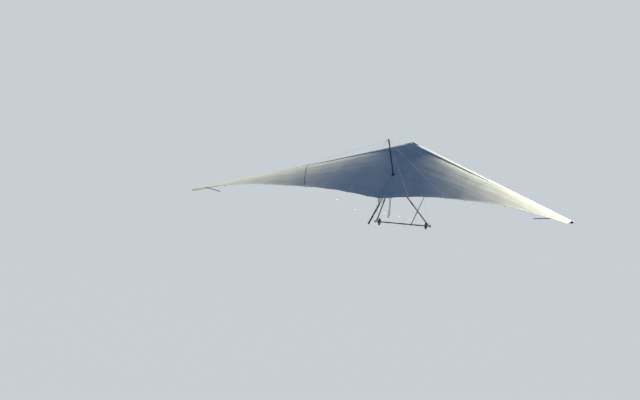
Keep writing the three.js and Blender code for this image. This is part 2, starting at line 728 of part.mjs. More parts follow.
// Hang strap: a webbing loop round the keel that hangs straight down, with an eye and a carabiner
function addHangStrap(name, y) {
  const strap = new THREE.Group();
  strap.position.set(0, y, 0);
  strap.rotation.x = PITCH;
  glider.add(strap);
  const keelAxis = new THREE.Vector3(0, Math.cos(PITCH), -Math.sin(PITCH));
  const alongKeel = (distance) => keelAxis.clone().multiplyScalar(distance);
  const eyeRadius = 9;
  const eyeOuter = eyeRadius + STRAP.thickness;
  const eyeCentre = new THREE.Vector3(0, 0, -STRAP.length);
  const half = STRAP.width / 2;
  const eye = (radius, reachY) => rod(
    new THREE.Vector3(0, -reachY, eyeCentre.z),
    new THREE.Vector3(0, reachY, eyeCentre.z),
    radius,
    20,
  );
  const band = block(new THREE.Vector3(0, 0, -STRAP.length / 2), STRAP.thickness, STRAP.width, STRAP.length);
  const webbing = cut(
    joined(rod(alongKeel(-half), alongKeel(half), STRAP.loop + STRAP.thickness, 24), band, eye(eyeOuter, half)),
    bore(alongKeel(-90), alongKeel(90), STRAP.loop, 24),
    eye(eyeRadius, half + 5),
  );
  add("hang_strap_" + name, MATERIAL.webbing, webbing, strap);

  const top = eyeCentre.z - (eyeRadius - CARABINER.radius - TOUCH);
  const ring = ringBar(CARABINER.width / 2, CARABINER.height / 2, CARABINER.bend, CARABINER.radius);
  add("carabiner_" + name, MATERIAL.bright, ring.translate(0, 0, top - CARABINER.height / 2), strap);
}

// A round bar bent into a closed rounded rectangle in the y and z plane
function ringBar(halfWidth, halfHeight, bend, radius) {
  const cornerSteps = 4;
  const sides = 8;
  const positions = [];
  const signs = [[1, 1], [-1, 1], [-1, -1], [1, -1]];
  signs.forEach(([signY, signZ], corner) => {
    for (let k = 0; k <= cornerSteps; k++) {
      const turn = (Math.PI / 2) * (corner + k / cornerSteps);
      const out = new THREE.Vector3(0, Math.cos(turn), Math.sin(turn));
      const centre = new THREE.Vector3(0, signY * (halfWidth - bend), signZ * (halfHeight - bend));
      for (let j = 0; j < sides; j++) {
        const angle = (2 * Math.PI * j) / sides;
        const spot = centre.clone().addScaledVector(out, bend + radius * Math.cos(angle));
        positions.push(radius * Math.sin(angle), spot.y, spot.z);
      }
    }
  });
  const rings = positions.length / 3 / sides;
  const faces = [];
  for (let i = 0; i < rings; i++) {
    for (let j = 0; j < sides; j++) {
      const a = i * sides + j;
      const b = i * sides + ((j + 1) % sides);
      const c = ((i + 1) % rings) * sides + ((j + 1) % sides);
      const d = ((i + 1) % rings) * sides + j;
      faces.push(a, c, b, a, d, c);
    }
  }
  const geometry = new THREE.BufferGeometry();
  geometry.setAttribute("position", new THREE.Float32BufferAttribute(positions, 3));
  geometry.setIndex(faces);
  geometry.computeVertexNormals();
  return geometry;
}

// Camera boom: a clamp that turns on the base bar, a telescopic rod forward and a small camera
function addBoom() {
  const pivot = new THREE.Vector3(BOOM_X, CORNER.y, CORNER.z);
  const heading = new THREE.Vector3(0, -BOOM_LENGTH, BOOM_RISE).normalize();
  const alongBar = (x) => pivot.clone().add(new THREE.Vector3(x, 0, 0));
  const alongBoom = (distance) => pivot.clone().addScaledVector(heading, distance);
  const clamp = cut(
    joined(rod(alongBar(-20), alongBar(20), 21, 24), rod(pivot, alongBoom(60 - TOUCH), 13, 16)),
    bore(alongBar(-40), alongBar(40), RUNNING, 24),
  );
  add("boom_clamp", MATERIAL.plastic, clamp);

  const pole = turned([
    [60, 0],
    [60, BOOM_RADIUS + 3],
    [520, BOOM_RADIUS + 3],
    [520, BOOM_RADIUS + 6],
    [560, BOOM_RADIUS + 6],
    [560, BOOM_RADIUS + 1],
    [960, BOOM_RADIUS + 1],
    [960, BOOM_RADIUS + 4],
    [995, BOOM_RADIUS + 4],
    [995, BOOM_RADIUS - 1],
    [BOOM_LENGTH - 30, BOOM_RADIUS - 1],
    [BOOM_LENGTH - 30, 0],
  ], "y", 16);
  const poleMesh = add("camera_boom", MATERIAL.plastic, pole);
  poleMesh.position.copy(pivot);
  poleMesh.quaternion.setFromUnitVectors(new THREE.Vector3(0, 1, 0), heading);

  const centre = alongBoom(BOOM_LENGTH + 2);
  const camera = joined(
    block(centre, 58, 30, 42),
    rod(centre.clone().add(new THREE.Vector3(12, 0, 0)), centre.clone().add(new THREE.Vector3(12, 24, 0)), 11, 16),
    rod(alongBoom(BOOM_LENGTH - 30 + TOUCH), centre, 6, 12),
  );
  add("boom_camera", MATERIAL.plastic, camera);
}

addKeel();
addNose();
addCentre();
addControlFrame();
for (const [name, side] of SIDES) {
  addLeadingEdge(name, side);
  addCrossbar(name, side);
  addControlFrameSide(name, side);
  addWheel(name, side);
  addSail(name, side);
  addStrut(name, side);
}
addKeelPocket();
addRigging();
STRAP.places.forEach((y, k) => addHangStrap(k === 0 ? "front" : "rear", y));
addBoom();

// Stand it on its wheels and tail, with the origin below the middle of its box
glider.rotation.x = -PITCH;
const part = new THREE.Group();
part.add(glider);
part.updateMatrixWorld(true);
const box = new THREE.Box3().setFromObject(part, true);
const middle = box.getCenter(new THREE.Vector3());
glider.position.set(-middle.x, -middle.y, -box.min.z);

export default part;
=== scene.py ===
"""Looks of a single-surface hang glider that stands parked on its wheels and the end of its keel."""

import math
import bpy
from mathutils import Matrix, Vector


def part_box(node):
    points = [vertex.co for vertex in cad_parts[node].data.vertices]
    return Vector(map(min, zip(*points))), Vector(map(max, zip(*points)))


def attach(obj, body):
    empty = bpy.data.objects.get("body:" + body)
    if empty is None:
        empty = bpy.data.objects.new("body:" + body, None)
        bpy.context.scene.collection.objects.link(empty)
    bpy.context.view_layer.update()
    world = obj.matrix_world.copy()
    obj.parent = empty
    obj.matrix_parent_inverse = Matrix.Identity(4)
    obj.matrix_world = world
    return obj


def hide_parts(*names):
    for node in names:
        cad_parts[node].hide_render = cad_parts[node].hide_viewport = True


bl_info = {
    "name": "Parked hang glider",
    "version": (1, 0, 0),
    "blender": (4, 5, 0),
    "location": "View3D > Sidebar > Glider",
    "description": "Builds the sail, tubes, rigging, wheels and stage of a hang glider round its fixed frame",
    "category": "Add Mesh",
}

from functools import cache

import bmesh
import bpy
from mathutils import Matrix, Vector, noise

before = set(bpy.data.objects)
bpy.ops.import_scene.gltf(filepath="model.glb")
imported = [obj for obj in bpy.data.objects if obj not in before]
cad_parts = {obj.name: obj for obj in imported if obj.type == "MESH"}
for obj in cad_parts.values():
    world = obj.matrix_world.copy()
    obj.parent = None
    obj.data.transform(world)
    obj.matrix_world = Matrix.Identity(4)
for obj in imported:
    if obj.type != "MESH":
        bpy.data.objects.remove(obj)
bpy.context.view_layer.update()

# Driving dimensions in metres, in the airframe's own frame: x to the pilot's left, y aft of the nose,
# z up and square to the keel, whose axis is z = 0
ORIGIN, LEFT, AFT, UP = Vector((0, 0, 0)), Vector((1, 0, 0)), Vector((0, 1, 0)), Vector((0, 0, 1))
HALF_SPAN = 5.2
SWEEP = math.radians(32.7)
JUNCTION_X = 3.146
JUNCTION_RISE = 0.065
TIP_BEND_AFT = 0.157
TIP_BEND_UP = 0.126
EDGE_RADIUS = 0.025
EDGE_ROOT_X = 0.045
EDGE_ROOT_DROP = 0.001

KEEL_LENGTH = 4.0
KEEL_RADIUS = 0.021
KEEL_NOSE_RADIUS = 0.0271
KEEL_NOSE_SLEEVE = 0.15
END_CAP_RADIUS = 0.024
END_CAP_DEPTH = 0.045
REAR_FITTING_Y = 3.356
REAR_KNOB_HEIGHT = 0.04
REAR_SLEEVE = (3.64, 3.73, 0.024)  # from, to and radius
NOSE_KNOB_TOP = Vector((0, 0.118, 0.06))
NOSE_KNOB_BOTTOM = Vector((0, 0.062, -0.046))
PLATE_INNER, PLATE_TOP = 0.0274, 0.0314

CROSSBAR_RADIUS = 0.026
CROSSBAR_CENTRE = Vector((0, 1.7, 0.06))
CROSSBAR_INNER_X = 0.03
CROSSBAR_END_GAP = 0.125
JUNCTION_KNOB = 0.009

KINGPOST_Y = 1.842
KINGPOST_RADIUS = 0.016
KINGPOST_TOP = Vector((0, KINGPOST_Y, 1.225))
SOCKET_TOP = 0.075
CAP_KNOB_RADIUS = 0.022
KNOB_RADIUS = 0.01

APEX = Vector((0.045, 1.892, -0.03))
CORNER = Vector((0.76, 1.596, -1.646))
CORNER_KNOB = Vector((0.014, 0, 0.032))
CORNER_KNOB_RADIUS = 0.011
DOWNTUBE_RADIUS = 0.016
DOWNTUBE_GAP = 0.045
GRIP_LENGTH = 0.12
GRIP_RADIUS = 0.02
BAR_RADIUS = 0.0145
BAR_HALF = 0.783

WHEEL_X = 0.676
WHEEL_RADIUS = 0.095
WHEEL_WIDTH = 0.034
WHEEL_PLAY = 0.0006
RIM_RADIUS = 0.0757
HUB_RADIUS = 0.024
SPOKES = 5
BORE_RADIUS = 0.0148

POCKET_HALF_HEIGHT = 0.034
POCKET_NOSE = 0.045
POCKET_DEPTH_ROOT = 0.125
POCKET_DEPTH_TIP = 0.09
SAIL_ROOT_X = 0.0026
SAIL_TIP_X = 5.18
CLOTH_THICKNESS = 0.0011
COVER_HALF_WIDTH = 0.21
FIN_FRONT_Y = 2.15

STRUT_RADIUS = 0.0095
STRUT_ROOT_X = 4.94
STRUT_END = Vector((4.278, 3.694, 0.38))

STRAP_PLACES = {"front": 1.938, "rear": 2.048}
STRAP_LENGTH = 0.85
STRAP_WIDTH = 0.03
STRAP_THICKNESS = 0.0019
STRAP_EYE = 0.009
RING_RADIUS, RING_WIDTH, RING_HEIGHT, RING_BEND = 0.005, 0.056, 0.096, 0.01

BOOM_X = -0.25
BOOM_LENGTH = 1.36
BOOM_RISE = 0.075
TOUCH = 0.0003

BATTENS = 9
BATTEN_FIRST = 0.3
BATTEN_LAST = 4.62
BATTEN_STEP = (BATTEN_LAST - BATTEN_FIRST) / (BATTENS - 1)
SEAM_LEAN = 0.28  # a cloth seam runs this much inboard for each metre aft
SEAM_STEP = 1.15
SEAM_FIRST = 0.25
# Where the dark strip lies, along one seam of the left half.
DARK_STRIP_AT = 2.55

# Share of the half span, then distance aft of the nose and height above the keel's axis
TRAILING_EDGE = (
    (0.0, 3.116, 0.195),
    (0.25, 3.2, 0.415),
    (0.5, 3.43, 0.57),
    (0.67, 3.6, 0.63),
    (0.85, 3.8, 0.59),
    (1.0, 3.912, 0.47),
)
# Share of the half span, then camber as a share of the chord
CAMBER = ((0.0, 0.0), (0.15, 0.024), (0.35, 0.034), (0.7, 0.045), (1.0, 0.05))
ARCH_RISE, ARCH_FALL = 0.75, 1.2  # powers of the camber's arch along the chord

SIDES = {"left": 1, "right": -1}

# Stage, in the row frame
GLIDER_MIDDLE = 1.3
KEY_FROM = Vector((-0.0694, -0.8658, 0.4955))

# The airframe's place in the row frame: pitched nose up until wheels and keel end share one floor
WHEEL_BASE = KEEL_LENGTH - CORNER.y
PITCH = math.asin((WHEEL_RADIUS - END_CAP_RADIUS) / math.hypot(WHEEL_BASE, CORNER.z))
PITCH += math.atan2(-CORNER.z, WHEEL_BASE)
TURN = Matrix.Rotation(-PITCH, 4, "X")
HUB_CENTRE = sum(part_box("tyre_left"), ORIGIN) / 2
AXLE = TURN @ Vector((0, CORNER.y, CORNER.z))
PLACE = Matrix.Translation(Vector((0, HUB_CENTRE.y, HUB_CENTRE.z)) - AXLE) @ TURN
ROW_FRAME = Matrix.Identity(4)
KEEL_AXIS = Vector((0, math.cos(PITCH), -math.sin(PITCH)))


# Plain geometry
def vec(x, y, z):
    return Vector((x, y, z))


def smoothstep(low, high, value):
    t = min(1.0, max(0.0, (value - low) / (high - low)))
    return t * t * (3 - 2 * t)


def spread(start, end, steps):
    """Even steps from start to end, with both."""
    return [start + (end - start) * k / steps for k in range(steps + 1)]


def at(side, point):
    return vec(side * point.x, point.y, point.z)


def toward(start, end, distance):
    return start + (end - start).normalized() * distance


def table_value(table, share, column):
    """Smooth value from a table whose first column is the share of the half span."""
    row = 0
    while row < len(table) - 2 and share > table[row + 1][0]:
        row += 1

    def slope(k):
        before, after = table[max(k - 1, 0)], table[min(k + 1, len(table) - 1)]
        return (after[column] - before[column]) / (after[0] - before[0])

    span = table[row + 1][0] - table[row][0]
    t = (share - table[row][0]) / span
    rise = table[row + 1][column] - table[row][column]
    start, end = slope(row) * span, slope(row + 1) * span
    bend = t**3 * (start + end - 2 * rise) + t * t * (3 * rise - 2 * start - end)
    return table[row][column] + start * t + bend


def edge_at(x):
    """The leading edge tube's axis: straight to the junction, then bent aft and up by the sail."""
    past = max(0.0, (x - JUNCTION_X) / (HALF_SPAN - JUNCTION_X))
    height = x * JUNCTION_RISE / JUNCTION_X - EDGE_ROOT_DROP + TIP_BEND_UP * past * past
    return vec(x, x * math.tan(SWEEP) + TIP_BEND_AFT * past * past, height)


def edge_heading(x):
    return (edge_at(x + 0.001) - edge_at(x)).normalized()


class Shape:
    """Points and faces that become one piece, with a material slot for each face and two flat maps."""

    def __init__(self):
        self.points, self.faces, self.slots, self.maps = [], [], [], ([], [])

    def add(self, points, faces, slot=0, *marks):
        base = len(self.points)
        self.points += [Vector(p) for p in points]
        for held, given in zip(self.maps, (*marks, None, None)):
            held += given or [(0.0, 0.0)] * len(points)
        self.faces += [tuple(base + i for i in face) for face in faces]
        self.slots += [slot] * len(faces)

    def skin(self, rings, closed=False, slot=0, *marks):
        """Faces between like rings of points, with both ends filled unless the rings close on themselves."""
        count, sides = len(rings), len(rings[0])
        turns = [(j, (j + 1) % sides) for j in range(sides)]
        faces = []
        for i in range(count if closed else count - 1):
            here, there = i * sides, (i + 1) % count * sides
            faces += [(here + j, here + k, there + k, there + j) for j, k in turns]
        if not closed:
            faces.append(tuple(range(sides - 1, -1, -1)))
            faces.append(tuple(range((count - 1) * sides, count * sides)))
        self.add([p for ring in rings for p in ring], faces, slot, *marks)


def build(name, shape, finishes="", place=PLACE, sharp=40, maps=()):
    """One object from a shape, smooth but for the edges that turn by more than the sharp angle."""
    mesh = bpy.data.meshes.new(name)
    mesh.from_pydata([place @ p for p in shape.points], [], shape.faces)
    for label in finishes.split():
        mesh.materials.append(finish(label))
    mesh.polygons.foreach_set("material_index", shape.slots)
    for label, values in zip(maps, shape.maps):
        layer = mesh.uv_layers.new(name=label)
        for loop in mesh.loops:
            layer.data[loop.index].uv = values[loop.vertex_index]
    settle(mesh, sharp)
    made = bpy.data.objects.new(name, mesh)
    bpy.context.scene.collection.objects.link(made)
    return made


def settle(mesh, sharp):
    """Faces point out, and edges sharper than the angle stay crisp."""
    work = bmesh.new()
    work.from_mesh(mesh)
    bmesh.ops.recalc_face_normals(work, faces=work.faces)
    for face in work.faces:
        face.smooth = True
    for edge in work.edges:
        edge.smooth = len(edge.link_faces) != 2 or edge.calc_face_angle(0) < math.radians(sharp)
    work.to_mesh(mesh)
    work.free()
    mesh.update()


def carry(made, slot, *nodes, body="airframe"):
    """The object rides on a body and stands for the nodes. The slot is not used."""
    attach(made, body)
    if nodes:
        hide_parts(*nodes)
    return made


def piece(name, shape, finishes, slot, *nodes, sharp=40, body="airframe", **more):
    """Builds an object from a shape and lets it ride on its body."""
    return carry(build(name, shape, finishes, sharp=sharp, **more), slot, *nodes, body=body)


def side_axes(direction):
    """Two directions square to a direction, the first as near upright as can be."""
    hint = LEFT if abs(direction.dot(UP)) > 0.98 else UP
    first = (hint - direction * hint.dot(direction)).normalized()
    return first, direction.cross(first)


def ring_points(centre, first, second, radius, sides):
    turns = [2 * math.pi * k / sides for k in range(sides)]
    return [centre + first * (radius * math.cos(a)) + second * (radius * math.sin(a)) for a in turns]


def sweep(shape, path, radius, sides=16, slot=0, closed=False):
    """A round bar along a path."""
    rings = []
    first = None
    for k, point in enumerate(path):
        before = path[k - 1] if closed or k > 0 else point
        after = path[(k + 1) % len(path)] if closed or k < len(path) - 1 else point
        direction = (after - before).normalized()
        if first is None:
            first, second = side_axes(direction)
        else:
            first = (first - direction * first.dot(direction)).normalized()
            second = direction.cross(first)
        rings.append(ring_points(point, first, second, radius, sides))
    shape.skin(rings, closed, slot)


def rod(shape, start, end, radius, sides=16, slot=0):
    sweep(shape, [start, end], radius, sides, slot)


def turned(shape, profile, origin, axis, sides=32, slot=0):
    """A turned body. The profile's pairs are the distance along the axis and the radius.
    It starts and ends on the axis, or else its last pair joins its first."""
    direction = axis.normalized()
    first, second = side_axes(direction)
    points, faces, rings = [], [], []
    for along, radius in profile:
        centre = origin + direction * along
        made = [centre] if radius < 1e-6 else ring_points(centre, first, second, radius, sides)
        rings.append(range(len(points), len(points) + len(made)))
        points += made
    pairs = list(zip(rings, rings[1:]))
    if len(rings[0]) > 1:
        pairs.append((rings[-1], rings[0]))
    for near, far in pairs:
        for j in range(sides):
            a, b = near[j % len(near)], near[(j + 1) % len(near)]
            c, d = far[(j + 1) % len(far)], far[j % len(far)]
            face = tuple(dict.fromkeys((a, b, c, d)))
            if len(face) > 2:
                faces.append(face)
    shape.add(points, faces, slot)


def barrel(start, end, radius, along=0.0, down=None, bore=0.0):
    """A profile with broken edges, which fall in by as much as they run along unless down says otherwise."""
    low = radius - (along if down is None else down)
    line = [(start, bore), (start, low), (start + along, radius)]
    line += [(end - along, radius), (end, low), (end, bore)]
    return list(dict.fromkeys(line))


def mirrored(line):
    """Half a profile with its mirror image, for a body that is the same from both ends."""
    return line + [(-along, radius) for along, radius in reversed(line)]


def ribbed(start, step, count, radius, rib):
    """A profile that repeats a rib, whose pairs are the distance along and inwards."""
    return [(start + step * k + along, radius - inward) for k in range(count) for along, inward in rib]


def dome(centre, radius, start=0.0, steps=12):
    """A ball's profile from an angle past its middle up to its top."""
    return [(centre + radius * math.sin(a), radius * math.cos(a)) for a in spread(start, math.pi / 2, steps)]


def block(shape, centre, size, bevel=0.001, turn=None, slot=0, segments=2):
    """A block with rounded edges."""
    work = bmesh.new()
    bmesh.ops.create_cube(work, size=1.0)
    bmesh.ops.scale(work, vec=Vector(size), verts=work.verts)
    bmesh.ops.bevel(work, geom=work.edges[:], offset=bevel, segments=segments, affect="EDGES", profile=0.5)
    if turn is not None:
        bmesh.ops.transform(work, matrix=turn.to_matrix().to_4x4(), verts=work.verts)
    bmesh.ops.translate(work, vec=Vector(centre), verts=work.verts)
    work.verts.index_update()
    shape.add([v.co.copy() for v in work.verts], [[v.index for v in f.verts] for f in work.faces], slot)
    work.free()


def bolt(shape, foot, axis, radius=0.005, slot=0):
    """A hexagon head on a washer, standing on its foot point."""
    washer = 0.0012
    turned(shape, barrel(0, washer, radius * 1.7), foot, axis, 24, slot)
    top, across = washer + radius * 0.9, radius * 1.12
    head = [(washer + 0.0001, 0), (washer + 0.0001, across), (top, across)]
    head += [(top + 0.0008, radius * 0.85), (top + 0.0008, 0)]
    turned(shape, head, foot, axis, 6, slot)


def lerp_path(points, steps):
    """A smooth path through a few points."""
    path = []
    last = len(points) - 1
    for k in range(last):
        p0, p1, p2, p3 = (points[min(max(k + i, 0), last)] for i in (-1, 0, 1, 2))
        for t in (i / steps for i in range(steps)):
            place = 2 * p1 + (p2 - p0) * t
            place += (2 * p0 - 5 * p1 + 4 * p2 - p3) * t**2
            place += (3 * p1 - p0 - 3 * p2 + p3) * t**3
            path.append(0.5 * place)
    return path + [points[-1].copy()]


# Node wiring
class Wiring:
    """Adds nodes to one tree. Each call takes sockets or plain values, and gives back an output socket."""

    def __init__(self, tree):
        self.tree = tree

    def node(self, kind, **settings):
        made = self.tree.nodes.new("ShaderNode" + kind)
        for name, value in settings.items():
            setattr(made, name, value)
        return made

    def feed(self, sockets, *values):
        """Links or sets sockets in their order."""
        for socket, value in zip(sockets, values):
            if isinstance(value, bpy.types.NodeSocket):
                self.tree.links.new(value, socket)
            elif value is not None:
                socket.default_value = value

    def fill(self, sockets, **values):
        """Links or sets sockets by name."""
        for name, value in values.items():
            self.feed([sockets[name.replace("_", " ")]], value)

    def math(self, operation, a, b=None, clamp=False):
        made = self.node("Math", operation=operation, use_clamp=clamp)
        self.feed(made.inputs, a, b)
        return made.outputs[0]

    def times(self, a, b):
        return self.math("MULTIPLY", a, b)

    def plus(self, a, b, clamp=False):
        return self.math("ADD", a, b, clamp)

    def less(self, a, b):
        return self.math("SUBTRACT", a, b)

    def highest(self, a, b, c, clamp=False):
        return self.math("MAXIMUM", self.math("MAXIMUM", a, b), c, clamp)

    def wave(self, value, rate):
        return self.math("SINE", self.times(value, rate))

    def ease(self, value, low, high, to_low=0.0, to_high=1.0, kind="SMOOTHSTEP"):
        made = self.node("MapRange", interpolation_type=kind)
        self.feed(made.inputs, value, low, high, to_low, to_high)
        return made.outputs[0]

    def slide(self, value, to_low, to_high, low=0.0, high=1.0):
        return self.ease(value, low, high, to_low, to_high, "LINEAR")

    def mix(self, factor, a, b):
        made = self.node("Mix", data_type="RGBA")
        sockets = {s.identifier: s for s in (*made.inputs, *made.outputs)}
        a, b = (v if isinstance(v, bpy.types.NodeSocket) else (*v[:3], 1.0) for v in (a, b))
        self.feed([sockets[label] for label in ("Factor_Float", "A_Color", "B_Color")], factor, a, b)
        return sockets["Result_Color"]

    def noise(self, vector, scale, detail=3.0, roughness=0.5):
        made = self.node("TexNoise")
        self.fill(made.inputs, Vector=vector, Scale=scale, Detail=detail, Roughness=roughness)
        return made.outputs["Fac"]

    def stretch(self, vector, *scale):
        made = self.node("Mapping")
        self.fill(made.inputs, Vector=vector, Scale=scale)
        return made.outputs[0]

    def split(self, vector):
        made = self.node("SeparateXYZ")
        self.feed(made.inputs, vector)
        return made.outputs

    def bump(self, height, strength, distance, normal=None):
        made = self.node("Bump")
        self.fill(made.inputs, Strength=strength, Distance=distance, Height=height, Normal=normal)
        return made.outputs[0]

    def flat(self, label):
        return self.node("UVMap", uv_map=label).outputs[0]

    def effect(self, group, *values):
        """One of the shared node groups, with its inputs fed in their order."""
        made = self.node("Group", node_tree=group())
        self.feed(made.inputs, *values)
        return made.outputs

    def blend(self, share, a, b, output):
        """Mixes two shaders into the tree's output node."""
        made = self.node("MixShader")
        self.feed(made.inputs, share, a, b)
        self.fill(self.tree.nodes[output].inputs, Surface=made.outputs[0])


def new_group(name, outputs, **inputs):
    """A shader node group. An input with no default is a vector, and the rest are numbers."""
    tree = bpy.data.node_groups.new(name, "ShaderNodeTree")
    for label, value in inputs.items():
        kind = "NodeSocketVector" if value is None else "NodeSocketFloat"
        socket = tree.interface.new_socket(label.replace("_", " "), in_out="INPUT", socket_type=kind)
        if value is not None:
            socket.default_value = value
    for label in outputs:
        tree.interface.new_socket(label, in_out="OUTPUT", socket_type="NodeSocketFloat")
    given, out = tree.nodes.new("NodeGroupInput").outputs, tree.nodes.new("NodeGroupOutput").inputs
    return tree, Wiring(tree), given, out


@cache
def rows_group():
    """A mask of like lines, one at each step along a coordinate."""
    numbers = {"Coordinate": 0.0, "Step": 1.0, "First": 0.0, "Half_Width": 0.01}
    tree, w, given, out = new_group("Even Rows", ("Mask", "Index"), **numbers)
    steps = w.math("DIVIDE", w.less(given["Coordinate"], given["First"]), given["Step"])
    off = w.times(w.math("ABSOLUTE", w.less(steps, w.math("ROUND", steps))), given["Step"])
    outer, inner = w.times(given["Half Width"], 1.15), w.times(given["Half Width"], 0.85)
    w.fill(out, Mask=w.ease(off, inner, outer, 1.0, 0.0), Index=w.math("FLOOR", steps))
    return tree


@cache
def weave_group():
    """Crossing threads over a flat coordinate, with a thicker thread at each tenth."""
    tree, w, given, out = new_group("Woven Threads", ("Height",), Vector=None, Threads=500.0)
    across = w.split(given["Vector"])
    threads = []
    for part in (across["X"], across["Y"]):
        turns = w.times(w.times(part, given["Threads"]), 2 * math.pi)
        coarse = w.math("POWER", w.math("ABSOLUTE", w.wave(turns, 0.05)), 24.0)
        threads.append(w.plus(w.times(w.math("SINE", turns), 0.25), coarse))
    w.fill(out, Height=w.plus(*threads))
    return tree


@cache
def crinkle_group():
    """Soft creases of cloth that has been rolled and pulled tight, longer along the first coordinate."""
    tree, w, given, out = new_group("Soft Creases", ("Height", "Tone"), Vector=None, Size=1.0)
    long = w.noise(w.stretch(given["Vector"], 0.7, 3.6, 1.0), given["Size"], 2.0, 0.4)
    small = w.noise(w.stretch(given["Vector"], 2.2, 3.0, 1.0), w.times(given["Size"], 2.3), 1.5, 0.4)
    ridge = w.math("ABSOLUTE", w.less(small, 0.5))
    w.fill(out, Height=w.less(long, w.times(ridge, 0.3)), Tone=w.ease(long, 0.3, 0.7))
    return tree


@cache
def grime_group():
    """Patches of dust and handling marks."""
    tree, w, given, out = new_group("Dust Patches", ("Mask",), Vector=None, Size=4.0, Amount=0.5)
    broad = w.noise(given["Vector"], given["Size"], 5.0, 0.62)
    fine = w.noise(given["Vector"], w.times(given["Size"], 9.0), 3.0, 0.6)
    both = w.plus(w.times(broad, 0.7), w.times(fine, 0.3))
    w.fill(out, Mask=w.times(w.ease(both, 0.42, 0.66), given["Amount"]))
    return tree


@cache
def brushed_group():
    """Fine drawing marks along one way and scuffs, for tubes and machined metal."""
    outputs = ("Height", "Gloss", "Scuff")
    tree, w, given, out = new_group("Drawn Metal", outputs, Vector=None, Grain=60.0, Scuffs=0.4)
    grain = w.noise(w.stretch(given["Vector"], 1.0, 0.06, 0.06), w.times(given["Grain"], 8.0), 2.0, 0.5)
    marks = w.noise(w.stretch(given["Vector"], 6.0, 1.2, 1.2), given["Grain"], 4.0, 0.65)
    scuff = w.times(w.ease(marks, 0.6, 0.72), given["Scuffs"])
    w.fill(out, Height=w.less(grain, scuff), Gloss=w.slide(grain, -0.05, 0.05, 0.3, 0.7), Scuff=scuff)
    return tree


# Finishes: each maker wires up the Principled shader of a new material
def dim(base, *factors):
    """A colour times one factor, or times one for each channel."""
    return [c * k for c, k in zip(base, factors * (3 // len(factors)))]


def lit_through(w, share, tint):
    """Lets a share of the light behind the cloth through."""
    through = w.node("BsdfTranslucent")
    w.fill(through.inputs, Color=(*tint, 1.0))
    w.blend(share, w.tree.nodes["Principled BSDF"].outputs[0], through.outputs[0], "Material Output")


def sail_cloth(w, shader, _, base, outer=None):
    """Woven polyester with lapped seams, batten stitching and a stiffer leading edge panel."""
    cloth = w.flat("cloth")
    spot, edges = w.split(cloth), w.split(w.flat("edges"))
    seam = w.effect(rows_group, edges["Y"], SEAM_STEP, SEAM_FIRST, 0.013)
    stitch = w.effect(rows_group, edges["Y"], SEAM_STEP, SEAM_FIRST, 0.0095)
    pocket = w.effect(rows_group, spot["X"], BATTEN_STEP, BATTEN_FIRST, 0.019)
    thread = w.effect(rows_group, spot["X"], BATTEN_STEP, BATTEN_FIRST, 0.0165)
    behind_edge = w.ease(spot["Y"], 0.285, 0.3)
    pocket_mask = w.times(pocket["Mask"], behind_edge)
    thread_mask = w.times(w.less(pocket["Mask"], thread["Mask"]), behind_edge)
    edge_panel = w.ease(spot["Y"], 0.19, 0.2, 1.0, 0.0)
    edge_stitch = w.ease(w.math("ABSOLUTE", w.less(spot["Y"], 0.2)), 0.0025, 0.0045, 1.0, 0.0)
    hem = w.ease(edges["X"], 0.03, 0.034, 1.0, 0.0)

    panel_tone = w.node("TexWhiteNoise", noise_dimensions="1D")
    w.fill(panel_tone.inputs, W=seam["Index"])
    tone = w.slide(panel_tone.outputs["Value"], 0.0, 0.35)
    crease = w.effect(crinkle_group, cloth, 2.4)
    dust = w.effect(grime_group, cloth, 1.7, 0.5)
    under = dim(base, 0.9, 0.9, 0.92)
    shade = w.mix(w.plus(tone, w.times(crease["Tone"], 0.3)), base, under)
    shade = w.mix(dust["Mask"], shade, dim(base, 0.7, 0.68, 0.63))
    # The outer under side and the pocket's under side get the dark olive colour: painted shade, standing in
    # for the shaded, ground-lit under side of the pale cloth.
    if outer is not None:
        shade = w.mix(w.ease(edges["Y"], 3.694, 3.7), shade, outer)
        shade = w.mix(w.ease(spot["Y"], 0.0, 0.004, 1.0, 0.0), shade, outer)
    else:
        shade = w.mix(edge_panel, shade, [min(0.93, c) for c in dim(base, 1.05)])
    overlap = w.highest(seam["Mask"], pocket_mask, hem)
    shade = w.mix(w.times(overlap, 0.4), shade, under)
    rows = w.highest(w.less(seam["Mask"], stitch["Mask"]), thread_mask, edge_stitch, True)

    layers = w.bump(w.less(overlap, w.times(rows, 0.8)), 0.5, 0.0012)
    creased = w.bump(crease["Height"], 0.35, 0.006, layers)
    woven = w.effect(weave_group, cloth, 420.0)
    w.fill(
        shader,
        Base_Color=w.mix(w.times(rows, 0.75), shade, dim(base, 0.74)),
        Roughness=w.slide(edge_panel, w.slide(crease["Tone"], 0.66, 0.8), 0.4),
        Specular_IOR_Level=w.ease(edge_panel, 0.0, 1.0, 0.1, 0.6),
        Normal=w.bump(woven["Height"], 0.08, 0.0003, creased),
    )
    lit_through(w, 0.1, dim(base, 0.8, 0.72, 0.5))


def plain_cloth(w, shader, place, base, share=0.06, tone=1.0, threads=420.0, dirt=0.5):
    """Woven cloth without seams of its own, for covers, pockets and tapes."""
    base = dim(base, tone)
    crease = w.effect(crinkle_group, place, 6.0)
    dust = w.effect(grime_group, place, 5.0, dirt)
    creased = w.bump(crease["Height"], 0.4, 0.003)
    woven = w.effect(weave_group, place, threads)
    shade = w.mix(crease["Tone"], base, dim(base, 0.88))
    w.fill(
        shader,
        Base_Color=w.mix(dust["Mask"], shade, dim(base, 0.66, 0.63, 0.58)),
        Roughness=w.slide(crease["Tone"], 0.6, 0.76),
        Specular_IOR_Level=0.28,
        Sheen_Weight=0.12,
        Normal=w.bump(woven["Height"], 0.15, 0.0003, creased),
    )
    if share:
        lit_through(w, share, dim(base, 0.7))


